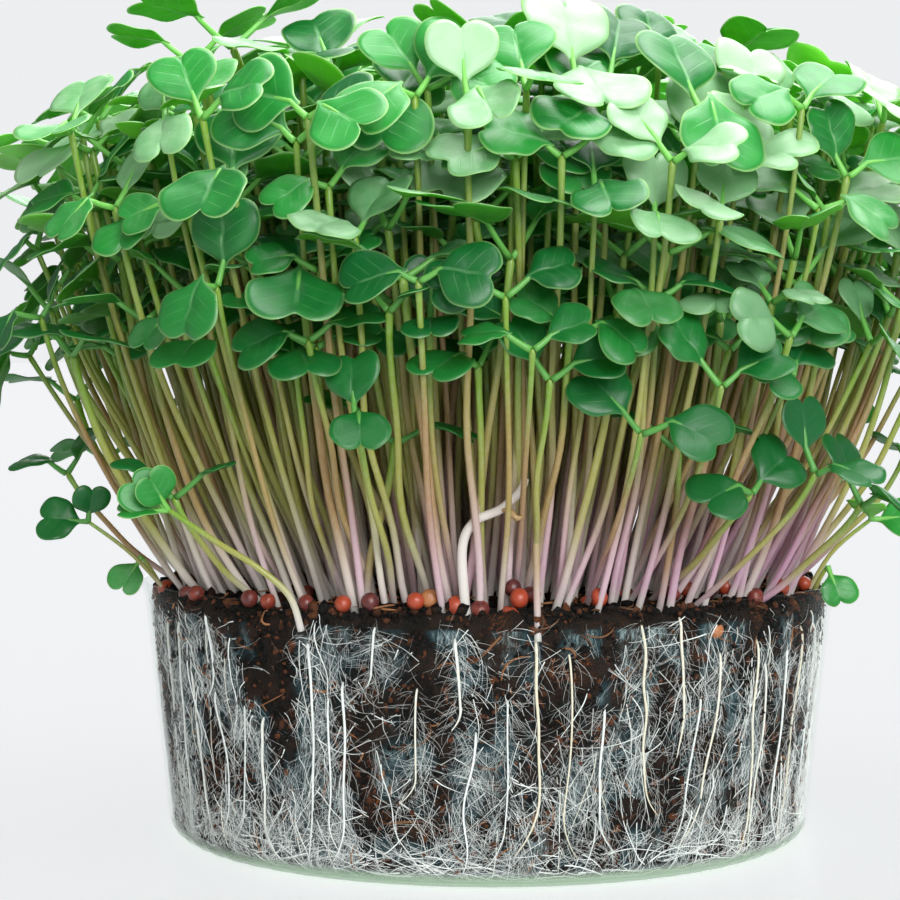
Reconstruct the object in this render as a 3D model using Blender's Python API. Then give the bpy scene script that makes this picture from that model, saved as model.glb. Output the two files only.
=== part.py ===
"""Microgreens tray: a round clear tub of growing mix with a dense crop of seedlings.

The tub holds a plug of dark mix. White roots run between the plug and the wall, and
seedlings stand in plain holes in the mix, two to a crown. Each seedling is a stem that
forks into two notched seed leaves.

+Z is up, -Y is the front, and the origin is the middle of the tub's flat base. The sizes
below are in millimetres, and each mesh is scaled to metres when it is made.
"""

import math
import random
from collections import namedtuple

import bmesh
import bpy
from mathutils import Vector, noise
from mathutils.bvhtree import BVHTree

MM = 0.001
UP = Vector((0, 0, 1))

# Tub
TUB_HEIGHT = 40.0
BASE_RADIUS = 46.8
HEEL_RADIUS = 3.5
HEEL_STEPS = 3
WALL_TOP = 38.2
WALL_TOP_RADIUS = 54.0
RIM_RADIUS = 54.7
RIM_STEP = 0.5
WALL = 0.8
TUB_SEGMENTS = 60
RIB_DEPTH = 0.3

# Root net
NET_INSET = 1.5
NET_WIRE = 0.7
NET_COLUMNS = 16
NET_LINES = (35.8, 24.5, 13.0, 2.8)
NET_ZIGZAG = 2.4
NET_JITTER = 1.2

# Growing mix
SOIL_TOP = 38.6
SOIL_SEGMENTS = 48
SOIL_INSET = 2.5
SOIL_HEEL = ((1.2, 44.0), (3.0, 46.6))
SOIL_LEVELS = (7.0, 21.0, 35.0)
SOIL_TOP_RINGS = (50.2, 43.0, 33.0, 22.0, 11.0)
COARSE_LUMPS = (9.0, 0.9)
FINE_LUMPS = (3.5, 0.5)
EDGE_START = 42.0
EDGE_FALL = 1.6
SEED_RADIUS = 1.35
SEED_RISE = 0.3
SEED_TRIES = 60
SEED_BAND = (36.0, 48.5)
SEED_GAP = 3.4

# Crowns, where two stems leave the mix together
SITE_SHIFT = 1.0
SITE_TURN = 0.2
SITE_RINGS = ((47.0, 19), (37.0, 14), (27.0, 10), (17.0, 6), (6.5, 3))
CROWN_LENGTH = 3.0
CROWN_WIDTH = 1.5
CROWN_DEPTH = 6.0
CROWN_RISE = 0.5
CROWN_TAPER = 0.6
HOLE_GAP = 0.4
HOLE_HEADROOM = 4.0

# Seedlings
STEM_STEPS = (1 / 3, 2 / 3, 1.0)
STEM_RADII = (0.85, 0.82, 0.78, 0.75)
STEM_BOW = 2.5
SIDE_BOW = 1.2
LOOSE_BOW = 3.0
ROOF_RISE = 1.3
ROOF_HALF = 0.5
PETIOLE = 6.0
PETIOLE_SPREAD = (0.8, 1.25)
PETIOLE_LEAN = 35.0
LEAN_WITH_RISE = 0.4
NECK_HALF = 0.55
BLADE_THICKNESS = 0.6
BLADE_SHARE = 0.80
HALF_OUTLINE = ((0.20, 0.30), (0.62, 0.50), (0.97, 0.33))
NOTCH = 0.84
BLADE_MIDDLE = 0.5
DROOP = (0.02, 0.16)
CUP = (-0.05, 0.2)
SKEW = 18.0
ROLL = 16.0

# Canopy
CANOPY_TOP = 119.0
CANOPY_DROP = 16.0
CANOPY_RADIUS = 72.0
FORK_REACH = 68.0
BASE_SHARE = 0.68
MIDDLE_FORK = 90.0
SHARE_FALL = 0.006
SPREAD = 1.47
SPREAD_SHARE = (0.9, 1.1)
FORK_SHIFT = 5.0
RISES = (-15.0, 40.0)
WIDTHS = (9.5, 13.5)
UPPER_DEPTH = (0.0, 14.0)
LOWER_DEPTH = (14.0, 42.0)
CLEARANCE = 0.7
MOST_TRIES = 300
LOOSEST = 12.0
LOOSE_TURN = 30.0
LOOSE_SHRINK = 0.3
KNEE_GAP = 2.6
SEED = 7

# A seedling's fork in millimetres, the heading of its first leaf (0 is +X and 90 is
# away from the front), how steeply each leaf rises, in degrees, and the leaf width.
Sprig = namedtuple("Sprig", "x y z turn rise_a rise_b width")

# The seedlings that give the front of the crop its outline, those with the largest leaves first.
FRONT_SPRIGS = (
    Sprig(-15, -45, 103, 210, 40, 25, 14),
    Sprig(3, -52, 98, 60, 20, -20, 14),
    Sprig(-1, -58, 94, 150, 25, -10, 13),
    Sprig(24, -58, 88, 200, 15, -15, 13),
    Sprig(-25, -58, 83, 270, -35, 20, 13),
    Sprig(43, -45, 84, 30, 35, 10, 13),
    Sprig(46, -38, 81, 250, -40, -30, 12),
    Sprig(-36, -46, 95, 165, 40, 10, 13),
    Sprig(3, -61, 87, 45, 40, 10, 13),
    Sprig(54, -30, 95, 170, 15, 15, 11),
    Sprig(0, -48, 110, 20, 35, 55, 12),
    Sprig(-17, -52, 90, 190, -5, 20, 12),
    Sprig(16, -55, 91, 160, 15, 20, 11),
    Sprig(-13, -60, 91, 120, 40, 0, 11),
    Sprig(-38, -38, 107, 180, 5, 30, 13),
    Sprig(39, -38, 98, 150, 60, 45, 11),
    Sprig(-37, -30, 119, 20, 25, 10, 12),
    Sprig(-44, -20, 118, 180, 8, 30, 10),
    Sprig(-5, -40, 115, 170, 30, 30, 10),
    Sprig(-8, -50, 105, 110, 20, -5, 11),
    Sprig(-11, -64, 84, 180, 10, 5, 11),
    Sprig(-28, -50, 91, 170, 20, 15, 11),
    Sprig(-37, -51, 87, 120, 35, 10, 11),
    Sprig(-45, -45, 87, 200, 20, 15, 11),
    Sprig(-53, -34, 88, 180, 15, 10, 13),
    Sprig(-26, -48, 103, 180, 5, 20, 12),
    Sprig(21, -48, 97, 130, 40, 15, 11),
    Sprig(32, -54, 83, 60, 30, -10, 12),
    Sprig(19, -60, 81, 110, 35, -30, 11),
    Sprig(40, -46, 88, 110, 50, 15, 11),
    Sprig(51, -20, 105, 180, 15, 25, 12),
    Sprig(17, -30, 109, 10, 25, 20, 12),
    Sprig(10, -38, 105, 90, 30, 10, 12),
    Sprig(-62, -10, 100, 20, 15, 10, 12),
    Sprig(-53, -26, 102, 30, 30, 5, 12),
    Sprig(-48, -40, 80, 200, 0, 15, 12),
    Sprig(-22, -15, 117, 170, 20, 20, 12),
    Sprig(-44, -44, 54, 170, 25, 15, 6),
    Sprig(-13, -50, 62, 350, -10, 20, 9),
    Sprig(23, -52, 60, 350, -5, 20, 9),
)


class Shape:
    """Points and faces that grow piece by piece."""

    def __init__(self):
        self.points = []
        self.faces = []

    def add(self, points):
        """Adds points and returns their numbers."""
        first = len(self.points)
        self.points += points
        return list(range(first, len(self.points)))

    def band(self, lower, upper):
        """Joins two rings of the same length by a strip of faces."""
        count = len(lower)
        for i in range(count):
            j = (i + 1) % count
            self.faces.append((lower[i], lower[j], upper[j], upper[i]))


def clear_scene():
    for old in list(bpy.data.objects):
        bpy.data.objects.remove(old, do_unlink=True)


def finish_material(name, colour, roughness, alpha=1.0):
    material = bpy.data.materials.new(name)
    material.use_nodes = True
    shader = material.node_tree.nodes["Principled BSDF"]
    shader.inputs["Base Color"].default_value = (*colour, 1.0)
    shader.inputs["Roughness"].default_value = roughness
    shader.inputs["Alpha"].default_value = alpha
    return material


def mesh_object(name, shape, material=None, parent=None, sharp_angle=40):
    """An object from a shape in millimetres, with its faces turned outwards."""
    mesh = bpy.data.meshes.new(name)
    mesh.from_pydata([point * MM for point in shape.points], [], shape.faces)
    work = bmesh.new()
    work.from_mesh(mesh)
    bmesh.ops.recalc_face_normals(work, faces=work.faces)
    work.to_mesh(mesh)
    work.free()
    mesh.shade_smooth()
    mesh.set_sharp_from_angle(angle=math.radians(sharp_angle))
    obj = bpy.data.objects.new(name, mesh)
    bpy.context.scene.collection.objects.link(obj)
    obj.parent = parent
    if material:
        mesh.materials.append(material)
    return obj


def hidden_helper(name, shape):
    helper = mesh_object(name, shape)
    helper.hide_render = True
    helper.display_type = "WIRE"
    return helper


def on_circle(radius, degrees, height):
    angle = math.radians(degrees)
    return Vector((radius * math.cos(angle), radius * math.sin(angle), height))


def heel_point(inset, share):
    """Radius and height on the rounded heel, from the base at share 0 to the wall at 1."""
    angle = math.radians(90 * share)
    reach = HEEL_RADIUS - inset
    return BASE_RADIUS + reach * math.sin(angle), HEEL_RADIUS - reach * math.cos(angle)


def wall_radius(height, inset):
    """Radius of the tub's outer face, less an inset, at a height."""
    if height < HEEL_RADIUS:
        reach = HEEL_RADIUS - inset
        return BASE_RADIUS + math.sqrt(reach**2 - (HEEL_RADIUS - height) ** 2)
    share = (height - HEEL_RADIUS) / (WALL_TOP - HEEL_RADIUS)
    low = BASE_RADIUS + HEEL_RADIUS
    return low + (WALL_TOP_RADIUS - low) * share - inset


def make_tub(parent):
    """The clear tub: outside up to the rim, then down the inside, with ribs on the heel."""
    outside = [heel_point(0, step / HEEL_STEPS) for step in range(HEEL_STEPS + 1)]
    inside = [heel_point(WALL, step / HEEL_STEPS) for step in range(HEEL_STEPS, -1, -1)]
    ribbed = range(1, HEEL_STEPS)
    rim = [
        (WALL_TOP_RADIUS, WALL_TOP),
        (RIM_RADIUS, WALL_TOP + RIM_STEP),
        (RIM_RADIUS, TUB_HEIGHT),
        (WALL_TOP_RADIUS - WALL, TUB_HEIGHT),
    ]
    shape = Shape()
    rings = []
    for number, (radius, height) in enumerate(outside + rim + inside):
        ring = []
        for i in range(TUB_SEGMENTS):
            groove = RIB_DEPTH if number in ribbed and i % 2 else 0
            ring.append(on_circle(radius - groove, 360 * i / TUB_SEGMENTS, height))
        rings.append(shape.add(ring))
    for lower, upper in zip(rings, rings[1:]):
        shape.band(lower, upper)
    shape.faces += [tuple(rings[0]), tuple(rings[-1])]
    clear = finish_material("clear_tub", (0.90, 0.93, 0.92), 0.12, alpha=0.25)
    return mesh_object("tray", shape, clear, parent)


def make_root_net(parent):
    """White roots as a stretched net of uneven six-sided cells, thickened to a solid."""
    rng = random.Random(SEED)
    points_around = 2 * NET_COLUMNS
    shape = Shape()
    lines = []
    for number, line_height in enumerate(NET_LINES):
        line = []
        for i in range(points_around):
            lift = NET_ZIGZAG if (i + number) % 2 == 0 else -NET_ZIGZAG
            if number in (0, len(NET_LINES) - 1):
                lift = 0
            height = line_height + lift + rng.uniform(-NET_JITTER, NET_JITTER) * bool(lift)
            angle = 360 * i / points_around + rng.uniform(-NET_JITTER, NET_JITTER)
            line.append(on_circle(wall_radius(height, NET_INSET), angle, height))
        lines.append(shape.add(line))
    for number, (high, low) in enumerate(zip(lines, lines[1:])):
        for i in range(number % 2, points_around, 2):
            j, k = (i + 1) % points_around, (i + 2) % points_around
            shape.faces.append((low[i], low[j], low[k], high[k], high[j], high[i]))
    root_white = finish_material("root_white", (0.80, 0.77, 0.66), 0.6)
    net = mesh_object("root_net", shape, root_white, parent)
    wires = net.modifiers.new("Roots", "WIREFRAME")
    wires.thickness = NET_WIRE * MM
    wires.use_even_offset = False
    wires.use_boundary = True
    return net


def soil_height(x, y):
    """Height of the mix's lumpy top, which falls a little towards the wall."""
    lumps = 0.0
    for layer, (spacing, height) in enumerate((COARSE_LUMPS, FINE_LUMPS)):
        lumps += height * noise.noise(Vector((x / spacing, y / spacing, 0.5 + 4 * layer)))
    edge = max(0.0, (math.hypot(x, y) - EDGE_START) / (SOIL_TOP_RINGS[0] - EDGE_START))
    return SOIL_TOP + lumps - EDGE_FALL * edge


def soil_sites():
    """Crown places in rings, with a little unevenness, outermost first."""
    rng = random.Random(SEED + 2)
    sites = []
    for radius, count in SITE_RINGS:
        for i in range(count):
            angle = 360 * (i + rng.uniform(-SITE_TURN, SITE_TURN)) / count
            reach = radius + rng.uniform(-SITE_SHIFT, SITE_SHIFT)
            sites.append(on_circle(reach, angle, 0).to_2d())
    return sites


def seed_places(sites):
    """Places for seed coats near the wall, clear of the crowns and of each other."""
    rng = random.Random(SEED + 1)
    places = []
    for _ in range(SEED_TRIES):
        spot = on_circle(rng.uniform(*SEED_BAND), rng.uniform(0, 360), 0).to_2d()
        if all((spot - other).length > SEED_GAP for other in sites + places):
            places.append(spot)
    return places


def seed_lumps(places):
    """Low eight-sided lumps, half sunk in the mix."""
    shape = Shape()
    corners = ((1, 0, 0), (0, 1, 0), (-1, 0, 0), (0, -1, 0))
    for spot in places:
        centre = Vector((*spot, soil_height(*spot) + SEED_RISE))
        belt = shape.add([centre + Vector(corner) * SEED_RADIUS for corner in corners])
        tips = shape.add([centre - UP * SEED_RADIUS, centre + UP * SEED_RADIUS])
        for tip in tips:
            shape.faces += [(belt[i], belt[(i + 1) % 4], tip) for i in range(4)]
    return hidden_helper("seed_lumps", shape)


def crown_corner(site, angle, along, across, height):
    direction = on_circle(1, angle, 0)
    side = on_circle(1, angle + 90, 0)
    return Vector((*site, height)) + direction * along + side * across


def crown_holes(clumps):
    """A plain pocket for each crown, larger than it by the gap."""
    shape = Shape()
    half_length = CROWN_LENGTH / 2 + HOLE_GAP
    half_width = CROWN_WIDTH / 2 + HOLE_GAP
    corners = ((-1, -1), (1, -1), (1, 1), (-1, 1))
    for site, angle in clumps:
        top = soil_height(*site)
        rings = []
        for height in (top - CROWN_DEPTH - HOLE_GAP, top + HOLE_HEADROOM):
            rings.append(shape.add([
                crown_corner(site, angle, u * half_length, v * half_width, height)
                for u, v in corners
            ]))
        shape.band(*rings)
        shape.faces += [tuple(rings[0]), tuple(rings[1])]
    return hidden_helper("crown_holes", shape)


def make_soil(parent, places, clumps):
    """The plug of growing mix, with its seed coats and the pockets that the crowns stand in."""
    shape = Shape()
    rings = []
    angles = [360 * i / SOIL_SEGMENTS for i in range(SOIL_SEGMENTS)]
    wall = [(height, wall_radius(height, SOIL_INSET)) for height in SOIL_LEVELS]
    for height, radius in SOIL_HEEL + tuple(wall):
        rings.append(shape.add([on_circle(radius, angle, height) for angle in angles]))
    for radius in SOIL_TOP_RINGS:
        ring = [on_circle(radius, angle, 0) for angle in angles]
        for point in ring:
            point.z = soil_height(point.x, point.y)
        rings.append(shape.add(ring))
    for lower, upper in zip(rings, rings[1:]):
        shape.band(lower, upper)
    middle = shape.add([UP * soil_height(0, 0)])[0]
    last = rings[-1]
    shape.faces += [(last[i], last[(i + 1) % SOIL_SEGMENTS], middle) for i in range(SOIL_SEGMENTS)]
    shape.faces.append(tuple(rings[0]))
    dark_mix = finish_material("growing_mix", (0.045, 0.030, 0.020), 0.9)
    soil = mesh_object("soil", shape, dark_mix, parent)
    for name, operation, helper in (
        ("Seed coats", "UNION", seed_lumps(places)),
        ("Crown pockets", "DIFFERENCE", crown_holes(clumps)),
    ):
        boolean = soil.modifiers.new(name, "BOOLEAN")
        boolean.operation = operation
        boolean.object = helper
        boolean.solver = "EXACT"
    return soil


class StemPath:
    """A cubic curve from the crown to the fork that bows outwards."""

    def __init__(self, foot, fork, bow):
        run = fork - foot
        self.knots = (foot, foot + run / 3 + bow, fork - run / 3 + bow, fork)

    def at(self, share):
        """The point and the direction at a share of the way up."""
        a, b, c, d = self.knots
        left = 1 - share
        point = a * left**3 + b * 3 * left**2 * share + c * 3 * left * share**2 + d * share**3
        slope = (b - a) * left**2 + (c - b) * 2 * left * share + (d - c) * share**2
        return point, slope.normalized()


def square_ring(centre, direction, angle, radius):
    """Four corners round a stem, the first at 45 degrees past the angle."""
    tilt = UP.rotation_difference(direction)
    return [centre + tilt @ on_circle(radius, angle + 45 + 90 * i, 0) for i in range(4)]


def add_blade(shape, neck, frame, size, bend, grow):
    """A notched leaf from its neck corners: two like fans, top and bottom, and an edge."""
    along, across, normal, origin = frame
    length, width = size
    droop, cup = bend
    right = [(u, -v) for u, v in reversed(HALF_OUTLINE)]
    outline = list(HALF_OUTLINE) + [(NOTCH, 0.0)] + right + [(BLADE_MIDDLE, 0.0)]
    sides = []
    for side in (1, -1):
        points = []
        for u, v in outline:
            height = width * cup * 2 * v * v - length * droop * u * u
            height += side * (BLADE_THICKNESS + grow) / 2
            points.append(origin + along * u * length + across * v * width + normal * height)
        sides.append(shape.add(points))
    top_left, top_right, low_right, low_left = neck
    loops = (
        [top_right, top_left] + sides[0][:-1],
        [low_right, low_left] + sides[1][:-1],
    )
    count = len(loops[0])
    for loop, points in zip(loops, sides):
        middle = points[-1]
        shape.faces += [(loop[i], loop[(i + 1) % count], middle) for i in range(count)]
    for i in range(1, count):
        j = (i + 1) % count
        shape.faces.append((loops[0][i], loops[0][j], loops[1][j], loops[1][i]))


def add_leaf(shape, root, heading, rise, size, bend, roll, petiole, grow):
    """A petiole from four root corners, low left, low right, top right, top left, and its blade."""
    lean = math.radians(PETIOLE_LEAN + LEAN_WITH_RISE * rise)
    start = sum((shape.points[i] for i in root), Vector()) / 4
    outward = on_circle(1, heading, 0)
    across = on_circle(1, heading + 90, 0)
    tip = start + (outward * math.cos(lean) + UP * math.sin(lean)) * petiole
    slope = math.radians(rise)
    along = outward * math.cos(slope) + UP * math.sin(slope)
    normal = along.cross(across)
    tilt = math.radians(roll)
    across, normal = (
        across * math.cos(tilt) + normal * math.sin(tilt),
        normal * math.cos(tilt) - across * math.sin(tilt),
    )
    half, thick = NECK_HALF + grow / 2, (BLADE_THICKNESS + grow) / 2
    low_left, low_right, top_right, top_left = shape.add([
        tip + across * half - normal * thick,
        tip - across * half - normal * thick,
        tip - across * half + normal * thick,
        tip + across * half + normal * thick,
    ])
    shape.band(root, [low_left, low_right, top_right, top_left])
    neck = (top_left, top_right, low_right, low_left)
    add_blade(shape, neck, (along, across, normal, tip), size, bend, grow)


class Seedling:
    """One settled seedling: its sprig, its stem and the small bends of its leaves."""

    def __init__(self, sprig, foot, crown_angle, rng, looseness):
        reach = LOOSEST * looseness
        fork = Vector((
            sprig.x + rng.uniform(-0.5, 0.5) * reach,
            sprig.y + rng.uniform(-0.5, 1.0) * reach,
            sprig.z + rng.uniform(-1.0, 0.5) * reach,
        ))
        outward = Vector((fork.x, fork.y, 0)).normalized()
        most = SIDE_BOW + LOOSE_BOW * looseness
        sideways = on_circle(rng.uniform(0, most), rng.uniform(0, 360), 0)
        self.path = StemPath(foot, fork, outward * STEM_BOW + sideways)
        self.crown_angle = crown_angle
        self.turn = sprig.turn + rng.uniform(-LOOSE_TURN, LOOSE_TURN) * looseness
        self.skew = rng.uniform(-SKEW, SKEW)
        self.rises = (sprig.rise_a, sprig.rise_b)
        self.width = sprig.width * (1 - LOOSE_SHRINK * looseness)
        self.petioles = tuple(PETIOLE * rng.uniform(*PETIOLE_SPREAD) for _ in range(2))
        self.bends = tuple((rng.uniform(*DROOP), rng.uniform(*CUP)) for _ in range(2))
        self.rolls = tuple(rng.uniform(-ROLL, ROLL) for _ in range(2))

    def add_to(self, shape, corners, grow=0.0):
        """Grows the stem and both leaves on the four corners given."""
        quarter = round((self.crown_angle - self.turn) / 90)
        last_angle = self.turn + 90 * quarter
        for share, radius in zip(STEM_STEPS, STEM_RADII[1:]):
            centre, direction = self.path.at(share)
            angle = self.crown_angle + (last_angle - self.crown_angle) * share
            ring = shape.add(square_ring(centre, direction, angle, radius + grow / 2))
            shape.band(corners, ring)
            corners = ring
        first = -quarter % 4
        near_left, near_right = corners[first], corners[(first - 1) % 4]
        far_left, far_right = corners[(first + 1) % 4], corners[(first + 2) % 4]
        tilt = UP.rotation_difference(direction)
        ridge = tilt @ on_circle(ROOF_HALF, self.turn + 90, 0)
        roof = centre + direction * ROOF_RISE
        left, right = shape.add([roof + ridge, roof - ridge])
        shape.faces += [(near_left, far_left, left), (far_right, near_right, right)]
        roots = ((near_left, near_right, right, left), (far_right, far_left, left, right))
        headings = (self.turn, self.turn + 180 + self.skew)
        size = (self.width * BLADE_SHARE + grow, self.width + grow)
        for k in range(2):
            add_leaf(
                shape, roots[k], headings[k], self.rises[k], size,
                self.bends[k], self.rolls[k], self.petioles[k], grow,
            )

    def tree(self, grow=0.0, from_share=False):
        """A search tree of the seedling alone, with its lowest stretch left out on request."""
        shape = Shape()
        foot = self.path.knots[0]
        corners = shape.add(square_ring(foot, UP, self.crown_angle, STEM_RADII[0] + grow / 2))
        self.add_to(shape, corners, grow)
        faces = shape.faces[4:] if from_share else shape.faces
        return BVHTree.FromPolygons(shape.points, faces)


def grown_sprig(site, slot, rng):
    """A sprig by the rule: leaning outwards, near the top of the canopy or lower inside it."""
    spread = SPREAD * rng.uniform(*SPREAD_SHARE)
    shift = on_circle(rng.uniform(0, FORK_SHIFT), rng.uniform(0, 360), 0).to_2d()
    place = site * spread + shift
    if place.length > FORK_REACH:
        place *= FORK_REACH / place.length
    dome = CANOPY_TOP - CANOPY_DROP * (place.length / CANOPY_RADIUS) ** 2
    depth = rng.uniform(*(LOWER_DEPTH if slot else UPPER_DEPTH))
    rises = [rng.uniform(*RISES) for _ in range(2)]
    return Sprig(place.x, place.y, dome - depth, rng.uniform(0, 360), *rises, rng.uniform(*WIDTHS))


def share_out_sprigs(sites):
    """Two sprigs for each site: the front ones, lowest first, go to the nearest free site."""
    chosen = [[] for _ in sites]
    for sprig in sorted(FRONT_SPRIGS, key=lambda sprig: sprig.z):
        share = BASE_SHARE + (MIDDLE_FORK - sprig.z) * SHARE_FALL
        wanted = Vector((sprig.x, sprig.y)) * share
        free = [i for i in range(len(sites)) if len(chosen[i]) < 2]
        chosen[min(free, key=lambda i: (sites[i] - wanted).length)].append(sprig)
    for i, site in enumerate(sites):
        rng = random.Random(SEED * 1000 + i)
        for slot in range(len(chosen[i]), 2):
            chosen[i].append(grown_sprig(site, slot, rng))
    return chosen


def crown_angle_of(pair):
    first, second = pair
    return math.degrees(math.atan2(second.y - first.y, second.x - first.x))


def settle(sprig, foot, angle, rng, standing, sibling):
    """The first try that touches nothing already standing, or None. Later tries are looser."""
    for attempt in range(MOST_TRIES):
        seedling = Seedling(sprig, foot, angle, rng, attempt / MOST_TRIES)
        tree = seedling.tree(CLEARANCE)
        if any(tree.overlap(other) for other in standing):
            continue
        if sibling:
            knee = seedling.path.at(STEM_STEPS[0])[0]
            if (knee - sibling.path.at(STEM_STEPS[0])[0]).length < KNEE_GAP:
                continue
            if seedling.tree(CLEARANCE, from_share=True).overlap(sibling.tree(0, from_share=True)):
                continue
        return seedling
    return None


def settle_all(sites):
    """Every site's seedlings, the front ones first, each clear of those settled before it."""
    chosen = share_out_sprigs(sites)
    settled = [[None, None] for _ in sites]
    trees = [[] for _ in sites]
    ranks = {sprig: rank for rank, sprig in enumerate(FRONT_SPRIGS)}
    order = [
        (ranks.get(chosen[i][slot], len(ranks)), slot, i)
        for i in range(len(sites)) for slot in range(2)
    ]
    for _, slot, i in sorted(order):
        angle = crown_angle_of(chosen[i])
        along = CROWN_LENGTH / 4 * (1 if slot else -1)
        foot = crown_corner(sites[i], angle, along, 0, soil_height(*sites[i]) + CROWN_RISE)
        rng = random.Random(SEED * 100000 + i * 10 + slot)
        standing = [tree for j in range(len(sites)) if j != i for tree in trees[j]]
        sibling = settled[i][1 - slot]
        seedling = settle(chosen[i][slot], foot, angle, rng, standing, sibling)
        if seedling:
            settled[i][slot] = seedling
            trees[i].append(seedling.tree())
    return chosen, settled


def make_clump(name, site, angle, pair, material, parent):
    """A tapered crown in its pocket, with a stem raised from each half of its top."""
    shape = Shape()
    top = soil_height(*site) + CROWN_RISE
    rings = []
    for height, scale in ((top - CROWN_RISE - CROWN_DEPTH, CROWN_TAPER), (top, 1.0)):
        rows = []
        for v in (-1, 1):
            along, across = scale * CROWN_LENGTH / 2, scale * CROWN_WIDTH / 2
            rows.append(shape.add([
                crown_corner(site, angle, u * along, v * across, height) for u in (-1, 0, 1)
            ]))
        rings.append(rows[0] + rows[1][::-1])
    shape.band(*rings)
    low, high = rings
    shape.faces += [(low[0], low[1], low[4], low[5]), (low[1], low[2], low[3], low[4])]
    halves = ((high[4], high[5], high[0], high[1]), (high[3], high[4], high[1], high[2]))
    for corners, seedling in zip(halves, pair):
        if seedling:
            seedling.add_to(shape, corners)
        else:
            shape.faces.append(corners)
    return mesh_object(name, shape, material, parent)


def main():
    clear_scene()
    part = bpy.data.objects.new("microgreens_tray", None)
    bpy.context.scene.collection.objects.link(part)
    sites = soil_sites()
    chosen, settled = settle_all(sites)
    clumps = [(site, crown_angle_of(pair)) for site, pair in zip(sites, chosen)]
    make_tub(part)
    make_root_net(part)
    make_soil(part, seed_places(sites), clumps)
    green = finish_material("seedling_green", (0.28, 0.42, 0.10), 0.45)
    for number, ((site, angle), pair) in enumerate(zip(clumps, settled), start=1):
        make_clump(f"seedlings_{number:02}", site, angle, pair, green, part)


main()
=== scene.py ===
"""Looks for the microgreens tray: a round clear tub of dark mix with a dense crop of seedlings.

The shapes are worked out in millimetres in the frame of the CAD model: +Z is up, -Y is the
front, and the origin is the middle of the tub's flat base. Each mesh is scaled to metres when
it is made. The seedlings stand where the CAD model has them, by the same placement rule.
"""

import logging
import math
import random
from collections.abc import Iterable, Sequence
from dataclasses import dataclass, field
from enum import Enum
from typing import Any, NamedTuple

import bpy
import numpy as np
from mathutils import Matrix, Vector, noise
from mathutils.bvhtree import BVHTree


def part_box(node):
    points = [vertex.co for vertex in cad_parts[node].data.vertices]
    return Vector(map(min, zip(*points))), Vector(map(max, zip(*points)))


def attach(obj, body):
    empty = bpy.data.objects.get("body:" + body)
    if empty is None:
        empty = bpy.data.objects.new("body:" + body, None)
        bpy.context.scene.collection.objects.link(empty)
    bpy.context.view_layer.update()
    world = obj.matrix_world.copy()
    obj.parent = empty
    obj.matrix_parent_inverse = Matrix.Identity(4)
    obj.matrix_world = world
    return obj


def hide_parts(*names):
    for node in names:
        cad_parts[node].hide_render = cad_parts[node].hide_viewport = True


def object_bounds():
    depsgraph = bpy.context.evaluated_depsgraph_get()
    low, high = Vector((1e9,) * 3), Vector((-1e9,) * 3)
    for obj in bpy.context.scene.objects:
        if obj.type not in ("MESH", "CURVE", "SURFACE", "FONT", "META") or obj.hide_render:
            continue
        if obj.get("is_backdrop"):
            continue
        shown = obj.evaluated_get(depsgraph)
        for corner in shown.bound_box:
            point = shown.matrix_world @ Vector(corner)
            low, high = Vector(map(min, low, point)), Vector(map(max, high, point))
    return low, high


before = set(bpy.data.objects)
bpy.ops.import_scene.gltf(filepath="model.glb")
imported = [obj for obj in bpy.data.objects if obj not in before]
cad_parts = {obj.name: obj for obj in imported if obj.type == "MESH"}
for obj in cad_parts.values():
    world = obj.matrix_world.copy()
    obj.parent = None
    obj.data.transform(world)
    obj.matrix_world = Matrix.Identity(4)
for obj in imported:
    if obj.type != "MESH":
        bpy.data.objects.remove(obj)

LOG = logging.getLogger("microgreens_tray")
MM = 0.001
UP = Vector((0, 0, 1))
UP_ROW = np.array([0.0, 0.0, 1.0])
SEED = 7
ROOT = "root"

Array = np.ndarray
Generator = np.random.Generator
Material = bpy.types.Material
Object = bpy.types.Object
Socket = bpy.types.NodeSocket
Pair = tuple[float, float]
Triple = tuple[float, float, float]
Colour = Triple
Faces = Sequence[Array]
Runs = tuple[Array, Array]


# Meshes, tubes and curves

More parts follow.
